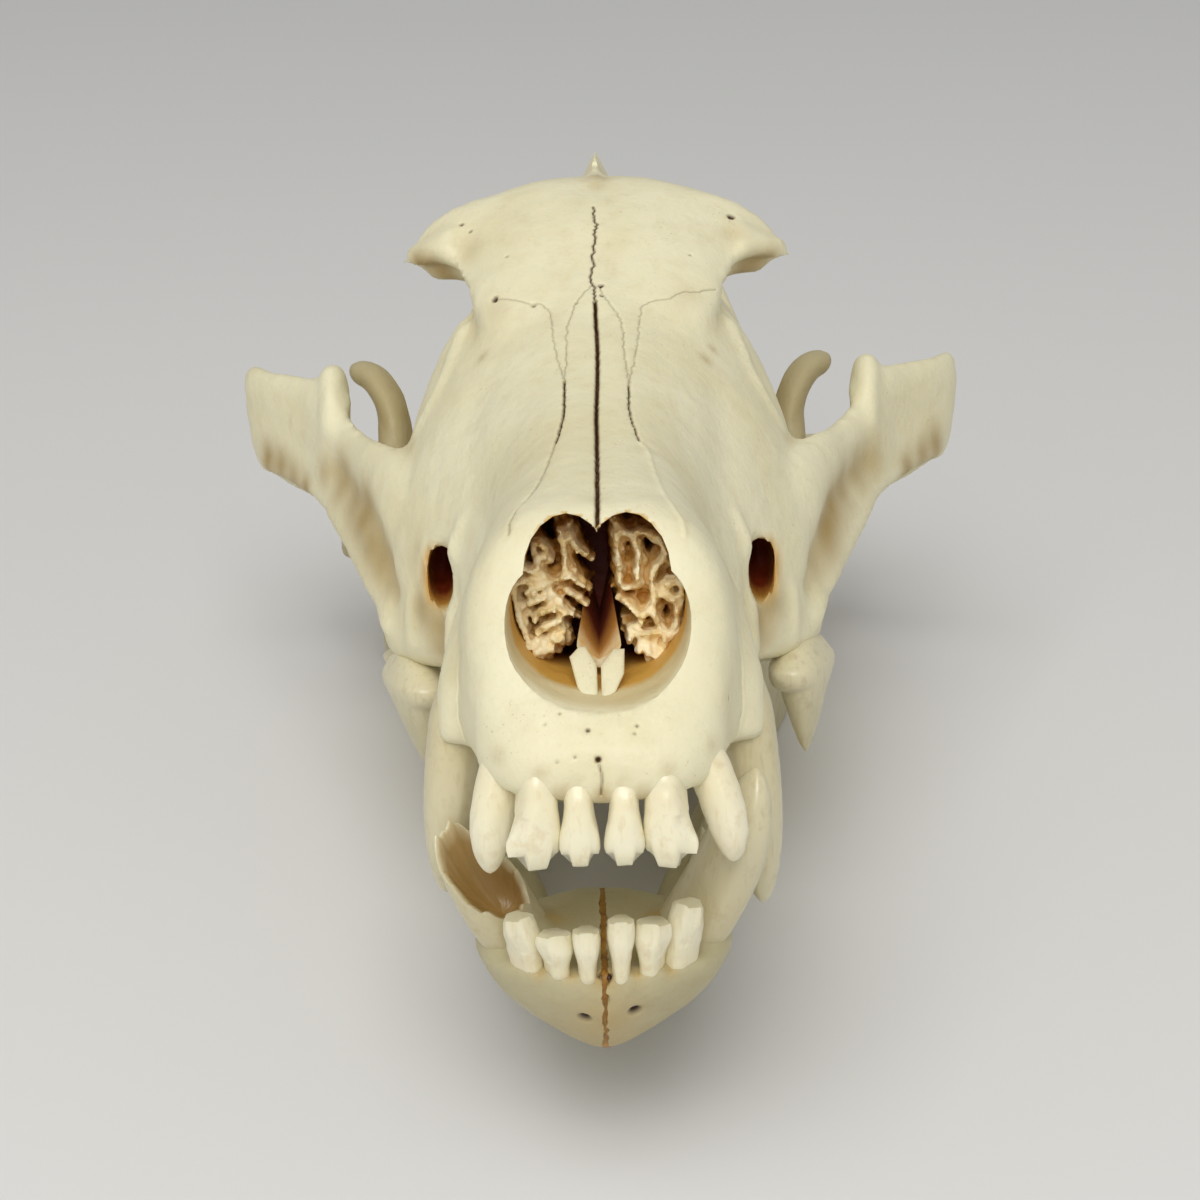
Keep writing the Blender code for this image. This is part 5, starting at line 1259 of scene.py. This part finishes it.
# rows: x, y, gum z, crown height, length along the row, width across, row angle, cusps
# a cusp: place along and across as shares of the half sizes, height, reach along, reach across
BLADE = [(0.08, 0.0, 1.0, 0.75, 1.1), (-0.75, 0.0, 0.42, 0.3, 0.9), (0.72, 0.0, 0.3, 0.3, 0.9)]
POINT = [(0.05, 0.0, 1.0, 0.9, 1.1)]
CARNASSIAL_UPPER = [(0.2, 0.2, 1.0, 0.72, 1.0), (-0.55, 0.2, 0.66, 0.55, 0.9), (0.76, -0.7, 0.3, 0.4, 0.5)]
CARNASSIAL_LOWER = [(0.45, 0.1, 0.8, 0.6, 1.0), (-0.12, 0.1, 1.0, 0.6, 1.0), (-0.75, 0.0, 0.42, 0.4, 0.9)]
MOLAR = [(0.45, 0.5, 0.9, 0.5, 0.5), (-0.4, 0.5, 0.75, 0.5, 0.5), (0.1, -0.5, 0.5, 0.7, 0.5)]
# the large upper cheek tooth of the animal's right leans to the midline, by RIGHT_LEAN at its tip
RIGHT_CARNASSIAL = (33.4, 100.0, -1.6, 15.4, 25.0, 10.8, -15.0, CARNASSIAL_UPPER)
RIGHT_LEAN = 2.6
UPPER_CHEEK = [
    (20.6, 43.5, 2.0, 7.5, 7.6, 5.0, 6.0, POINT),
    (20.6, 56.5, 2.0, 10.0, 13.0, 5.6, 4.0, BLADE),
    (23.0, 73.0, 2.0, 11.5, 14.6, 6.4, -14.0, BLADE),
    (35.2, 101.0, 0.0, 15.6, 25.0, 10.4, -15.0, CARNASSIAL_UPPER),
    (32.0, 118.0, -0.6, 7.4, 13.0, 17.0, 0.0, MOLAR),
    (28.5, 129.0, 1.0, 6.0, 8.4, 12.5, 8.0, MOLAR),
]
LOWER_CHEEK = [
    (15.4, 39.5, -13.0, 4.4, 5.6, 4.4, -14.0, POINT),
    (16.4, 50.0, -13.0, 7.8, 11.4, 5.0, -14.0, BLADE),
    (18.8, 63.0, -13.0, 8.8, 12.6, 5.4, -13.0, BLADE),
    (21.4, 77.5, -12.5, 10.2, 14.4, 6.2, -12.0, BLADE),
    (25.4, 99.5, -12.0, 15.2, 26.0, 9.0, -11.0, CARNASSIAL_LOWER),
    (28.8, 118.0, -10.5, 5.8, 10.4, 7.8, -10.0, MOLAR),
    (30.4, 127.0, -9.5, 4.2, 5.0, 4.6, -10.0, POINT),
]


def tooth_axes(side, angle):
    """Directions along the tooth row towards the front, and across it towards the outside."""
    turn = math.radians(angle)
    return (np.array((side * math.sin(turn), -math.cos(turn), 0.0)),
            np.array((side * math.cos(turn), math.sin(turn), 0.0)))


def eased(value, low, high):
    """0 below `low`, 1 above `high`, and a smooth S between them."""
    share = np.clip((value - low) / (high - low), 0, 1)
    return share * share * (3 - 2 * share)


def chisel(row, side, lobe, edge):
    """Front tooth: rings climb from a narrow neck into a wide crown, and the outer side may stand out
    as a thin flange. Beside the middle lobe each point's height is cut down; the crown thins towards
    its edge as the square root of what is left."""
    x, y, z, tip_x, tip_y, tip_z, length, width, angle, neck, flange = row
    along, across = tooth_axes(side, angle)
    base, tip = np.array((side * x, y, z)), np.array((side * tip_x, tip_y, tip_z))
    height = np.concatenate([np.linspace(-0.36, 0, 12, endpoint=False), np.linspace(0, 1, 44)])[:, None]
    c, s = oval(2.7, 64)
    rise = np.clip(height, 0, 1)
    reach_out = np.clip(c, 0, 1) ** 3
    wide = neck + (1 - neck) * eased(rise, 0.1, 0.74) - 0.07 * eased(rise, 0.84, 1.0)
    outer = flange * eased(rise, 0.35, 0.8) * reach_out
    thick = np.sqrt(np.clip(1 + edge - rise**2.0, 0.02, 1))
    thick = thick * (1 - 0.75 * (outer > 0) * eased(c, 0.55, 1.0) * rise)
    cut = lobe * (0.17 * eased(np.abs(c), 0.44, 0.62) + 0.05 * np.exp(-((np.abs(c) - 0.52) / 0.07) ** 2))
    level = height - cut * rise**3
    fat = np.sqrt(np.clip(1 - (np.minimum(height, 0) / 0.361) ** 2, 0.002, 1))
    place = base + (tip - base) * level[..., None]
    return (place + along * ((c * wide + outer) * fat * length / 2)[..., None]
            + across * (s * thick * fat * width / 2)[..., None])


ROOT_RINGS = 8
CROWN_RINGS = 44


def spike(row, side, curve, blunt, broken=False):
    """Long tooth: an oval is carried along a bowed line from root to tip, and its size falls to the
    tip as a power of the height left. A broken one ends high on its outside and low on its inside,
    with a hollow between."""
    x, y, z, tip_x, tip_y, tip_z, length, width, angle = row
    along, across = tooth_axes(side, angle)
    base, tip = np.array((side * x, y, z)), np.array((side * tip_x, tip_y, tip_z))
    c, s = oval(2.15, 56)

    def section(height, scale):
        """Ring of the tooth where each point has its own height."""
        rise = np.clip(height, 0, 1)
        size = np.where(height < 0, np.sqrt(np.clip(1 - (height / 0.31) ** 2, 0.002, 1)),
                        (1 - rise**blunt) ** 0.6) * scale
        bow = curve * np.sin(np.clip(height, -0.3, 1) * np.pi) * abs(tip_z - z)
        ridge = 1 + 0.04 * np.exp(-((s + 0.55) / 0.2) ** 2)
        size = np.maximum(size, 0.02) * ridge / 2
        return (base + (tip - base) * height[..., None] + along * (bow + c * size * length)[..., None]
                + across * (s * size * width)[..., None])

    root = np.linspace(-0.3, 0, ROOT_RINGS, endpoint=False)[:, None] + 0 * c
    share = np.linspace(0, 1, CROWN_RINGS)[:, None]
    if not broken:
        return section(np.concatenate([root, share + 0 * c]), 1.0)
    around = np.arctan2(s, c)
    top = 0.4 + 0.24 * s - 0.08 * c + 0.02 * np.sin(7 * around) + 0.012 * np.sin(17 * around)
    inner = np.array([1.0, 0.96, 0.8, 0.5, 0.22, 0.08, 0.0])[:, None]
    scale = np.array([0.96, 0.86, 0.76, 0.62, 0.45, 0.25, 0.03])[:, None]
    hollow = top * inner + 0.1 * (1 - inner)
    heights = np.concatenate([root, share * top, hollow])
    scales = np.concatenate([np.ones((ROOT_RINGS + CROWN_RINGS, 1)), scale])
    return section(heights, scales)


def cheek(row, side, way, lean=0.0):
    """Cheek tooth: a height field over an oval. Each cusp is a rounded cone, the tallest wins, and the
    field falls to the neck at the outline; below it the root narrows into the socket."""
    x, y, z, crown, length, width, angle, cusps = row
    along, across = tooth_axes(side, angle)
    c, s = oval(2.4, 56)
    radius = np.concatenate([np.linspace(0.01, 0.98, 32), [1.0, 0.97, 0.86, 0.68, 0.45]])[:, None]
    drop = np.concatenate([np.zeros(32), [0.0, 0.12, 0.35, 0.7, 1.0]])[:, None]
    u, v = radius * c, radius * s
    field = np.full(u.shape, 0.26)
    for place_u, place_v, top, reach_u, reach_v in cusps:
        gap = np.sqrt(((u - place_u) / reach_u) ** 2 + ((v - place_v) / reach_v) ** 2 + 0.002)
        field = np.maximum(field, top * (1.03 - gap**1.3))
    field = np.maximum(field, 0.12) * (1 - radius**6) ** 0.5
    level = np.where(drop > 0, -drop * 0.3, field)
    place = (np.array((side * x, y, z)) + along * (u * length / 2)[..., None]
             + across * (v * width / 2)[..., None])
    return place + np.array((-side * lean, 0.0, way * crown)) * level[..., None]


# the dentine that a break lays bare is a dull yellow-brown
DENTINE = "a8874e"


def tooth_enamel(name, crown, edge, neck, tan):
    """Enamel over dentine: glossy ivory, another tone at the cutting edge and at the neck, with tan
    clouds 3 mm across and long tan streaks 0.8 mm wide. Real streaks are finer than that and would
    not show."""
    finish = bpy.data.materials.new(name)
    finish.use_nodes = True
    tree = finish.node_tree
    shader = tree.nodes["Principled BSDF"]
    place = add(tree, "ShaderNodeTexCoord").outputs["Object"]
    height = add(tree, "ShaderNodeAttribute", {"attribute_name": "height"}).outputs["Fac"]
    cloud = add(tree, "ShaderNodeTexNoise", inputs={"Vector": place, "Scale": 1000 / 3.0, "Detail": 4.0,
                                                    "Roughness": 0.6}).outputs[0]
    streak_way = add(tree, "ShaderNodeMapping", inputs={0: place, 3: (1.0, 1.0, 0.18)}).outputs[0]
    streak = add(tree, "ShaderNodeTexNoise",
                 inputs={"Vector": streak_way, "Scale": 1000 / 0.8, "Detail": 3.0}).outputs[0]
    wavy = add(tree, "ShaderNodeMath", {"operation": "MULTIPLY_ADD"},
               {0: cloud, 1: 0.22, 2: height}).outputs[0]
    core = add(tree, "ShaderNodeAttribute", {"attribute_name": "core"}).outputs["Fac"]
    colour = layer_colours(tree, neck, [
        (wavy, 0.2, 0.62, 1.0, crown), (wavy, 0.8, 1.15, 0.8, edge), (streak, 0.55, 0.8, 0.35, tan),
        (cloud, 0.56, 0.75, 0.4, tan), (core, 0.0, 1.0, 1.0, DENTINE)])
    tree.links.new(colour, shader.inputs["Base Color"])
    rough = add(tree, "ShaderNodeMapRange", inputs={0: wavy, 1: 0.1, 2: 0.6, 3: 0.36, 4: 0.3}).outputs[0]
    tree.links.new(rough, shader.inputs["Roughness"])
    shader.inputs["IOR"].default_value = 1.62
    shader.inputs["Subsurface Weight"].default_value = 0.25
    shader.inputs["Subsurface Radius"].default_value = (1.0, 0.8, 0.55)
    shader.inputs["Subsurface Scale"].default_value = 0.0015
    bump = add(tree, "ShaderNodeBump", inputs={"Strength": 0.25, "Distance": 0.0002, "Height": streak})
    tree.links.new(bump.outputs[0], shader.inputs["Normal"])
    return finish


# front teeth are the palest, long teeth greyer, and cheek teeth dull with paler necks
FRONT_ENAMEL = tooth_enamel("front_tooth_enamel", "efe8ca", "e0d8b6", "ece2be", "cdb37c")
SPIKE_ENAMEL = tooth_enamel("long_tooth_enamel", "d6cdaa", "d0c8a6", "d0c59e", "b3a070")
CHEEK_ENAMEL = tooth_enamel("cheek_tooth_enamel", "c9c09c", "bdb38c", "d9d0ac", "a8946a")


def set_tooth(rings, name, finish, slot, gum_z, tip_z, opened, broken=False):
    """Close a tooth's rings, store its height from neck to tip, and settle it in its jaw. On a broken
    tooth, `core` marks the rings that follow those of its outer wall."""
    piece = skins([rings], name)
    points = coordinates(piece)
    points = points + facing(piece) * 0.05 * ripple(points, 2.4, len(name))[:, None]
    reshape(piece, points)
    keep_attribute(piece, "height", (points[:, 2] - gum_z) / (tip_z - gum_z))
    if broken:
        inside_break = np.arange(len(points)) // rings.shape[1] - ROOT_RINGS - CROWN_RINGS
        keep_attribute(piece, "core", inside_break / 2)
    if opened:
        piece.data.transform(open_jaw())
    finish_bone(piece, finish, slot)


for label, side in (("left", 1), ("right", -1)):
    for number, row in enumerate(UPPER_FRONT, 1):
        set_tooth(chisel(row, side, 1.0, 0.04), f"upper_incisor_{number}_{label}", FRONT_ENAMEL,
                  "skull_bone", row[2], row[5], False)
    for name, row, finish, curve, blunt in (("upper_incisor_3", UPPER_THIRD[side], FRONT_ENAMEL, 0.06, 3.4),
                                            ("upper_canine", UPPER_CANINE[side], SPIKE_ENAMEL, 0.05, 2.6)):
        set_tooth(spike(row, side, curve, blunt), f"{name}_{label}", finish, "skull_bone",
                  row[2], row[5], False)
    for number, row in enumerate(UPPER_CHEEK, 1):
        lean = RIGHT_LEAN if number == 4 and side < 0 else 0.0
        if lean:
            row = RIGHT_CARNASSIAL
        set_tooth(cheek(row, side, -1, lean), f"upper_cheek_tooth_{number}_{label}", CHEEK_ENAMEL,
                  "skull_bone", row[2], row[2] - row[3], False)
    for number, row in enumerate(LOWER_FRONT, 1):
        if side > 0:
            row = row[:5] + (row[5] + LEFT_LOWER_LIFT,) + row[6:]
        set_tooth(chisel(row, side, 0.25, 0.3), f"lower_incisor_{number}_{label}", FRONT_ENAMEL, "jaw_bone",
                  row[2], row[5], True)
    set_tooth(spike(LOWER_CANINE, side, 0.07, 2.4, side < 0), f"lower_canine_{label}", SPIKE_ENAMEL,
              "jaw_bone", LOWER_CANINE[2], LOWER_CANINE[5], True, side < 0)
    for number, row in enumerate(LOWER_CHEEK, 1):
        set_tooth(cheek(row, side, 1), f"lower_cheek_tooth_{number}_{label}", CHEEK_ENAMEL, "jaw_bone",
                  row[2], row[2] + row[3], True)


# Floor, light and camera
# A plain pale floor of matt paper, two soft lights above and in front, and a weak fill from each
# side. The camera looks down at the nose from where the photo was taken.

def flat_panel(name, half, z):
    """Square floor: nine by nine corners in even steps."""
    line = np.linspace(-half, half, 9)
    x, y = np.meshgrid(line, line)
    corners = np.stack([x, y, np.full_like(x, z)], axis=-1).reshape(-1, 3)
    index = np.arange(81).reshape(9, 9)
    quads = np.stack([index[:-1, :-1], index[:-1, 1:], index[1:, 1:], index[1:, :-1]], axis=-1)
    mesh = bpy.data.meshes.new(name)
    mesh.from_pydata(corners.tolist(), [], quads.reshape(-1, 4).tolist())
    panel = bpy.data.objects.new(name, mesh)
    bpy.context.scene.collection.objects.link(panel)
    return panel


floor = flat_panel("floor", 4.0, 0.0)
# matt paper: an even pale grey with no shine
paper = bpy.data.materials.new("matt_studio_paper")
paper.use_nodes = True
paper_tree = paper.node_tree
paper_shader = paper_tree.nodes["Principled BSDF"]
paper_place = add(paper_tree, "ShaderNodeTexCoord").outputs["Object"]
paper_noise = add(paper_tree, "ShaderNodeTexNoise", inputs={"Vector": paper_place, "Scale": 3.0}).outputs[0]
paper_colour = layer_colours(paper_tree, "e3e2df", [(paper_noise, 0.0, 1.0, 1.0, "dfdedb")])
paper_tree.links.new(paper_colour, paper_shader.inputs["Base Color"])
paper_shader.inputs["Roughness"].default_value = 0.8
floor.data.materials.append(paper)


def area_light(name, place, aim, size, power):
    """Square soft light at a place, turned to face a point."""
    lamp = bpy.data.lights.new(name, "AREA")
    lamp.size = size
    lamp.energy = power
    holder = bpy.data.objects.new(name, lamp)
    place, aim = np.array(place), np.array(aim)
    back = (place - aim) / np.linalg.norm(place - aim)
    right = np.cross((0.0, 0.0, 1.0), back)
    right /= np.linalg.norm(right)
    turn = np.stack([right, np.cross(back, right), back], axis=1)
    holder.matrix_world = Matrix.Translation(place.tolist()) @ Matrix(turn.tolist()).to_4x4()
    bpy.context.scene.collection.objects.link(holder)


area_light("key", (-0.15, -0.7, 1.15), (0.0, 0.0, 0.06), 0.9, 8.0)
area_light("front", (0.05, -1.15, 1.15), (0.0, -0.06, 0.09), 0.7, 5.6)
area_light("fill_left", (1.1, -0.5, 0.5), (0.0, 0.0, 0.06), 0.9, 1.0)
area_light("fill_right", (-1.1, -0.5, 0.5), (0.0, 0.0, 0.06), 0.9, 1.0)
world = bpy.data.worlds.new("studio")
world.use_nodes = True
world.node_tree.nodes["Background"].inputs[0].default_value = (1.0, 1.0, 1.0, 1.0)
world.node_tree.nodes["Background"].inputs[1].default_value = 0.36
bpy.context.scene.world = world
bpy.context.scene.view_settings.view_transform = "Standard"

# the camera's place and turn in the skull's frame: angles, then millimetres from the point it aims at
CAMERA_PITCH = math.radians(10.37)
CAMERA_YAW = math.radians(-0.49)
CAMERA_ROLL = math.radians(-1.29)
CAMERA_DISTANCE = 473.5
CAMERA_SIDE = 0.2
CAMERA_RISE = -10.5
FOCAL_PIXELS = 2922.0
IMAGE_PIXELS = 1200.0
AIM = np.array((0.0, 60.0, 30.0))

sine, cosine = math.sin(CAMERA_YAW), math.cos(CAMERA_YAW)
flat_share = math.cos(CAMERA_PITCH)
forward = np.array((sine * flat_share, cosine * flat_share, -math.sin(CAMERA_PITCH)))
level = np.array((cosine, -sine, 0.0))
upright = np.cross(level, forward)
rightward = level * math.cos(CAMERA_ROLL) + upright * math.sin(CAMERA_ROLL)
upward = -level * math.sin(CAMERA_ROLL) + upright * math.cos(CAMERA_ROLL)
stand = AIM - forward * CAMERA_DISTANCE + rightward * CAMERA_SIDE + upward * CAMERA_RISE
pose = Matrix(np.vstack([np.column_stack([rightward, upward, -forward, stand]), (0, 0, 0, 1)]).tolist())
pose = SKULL_TO_WORLD @ pose
lens = bpy.data.cameras.new("camera")
lens.sensor_width = 36.0
lens.lens = FOCAL_PIXELS / IMAGE_PIXELS * lens.sensor_width
lens.clip_start = 0.01
camera = bpy.data.objects.new("camera", lens)
camera.matrix_world = Matrix.Translation(pose.translation) @ pose.to_3x3().normalized().to_4x4()
bpy.context.scene.collection.objects.link(camera)
bpy.context.scene.camera = camera
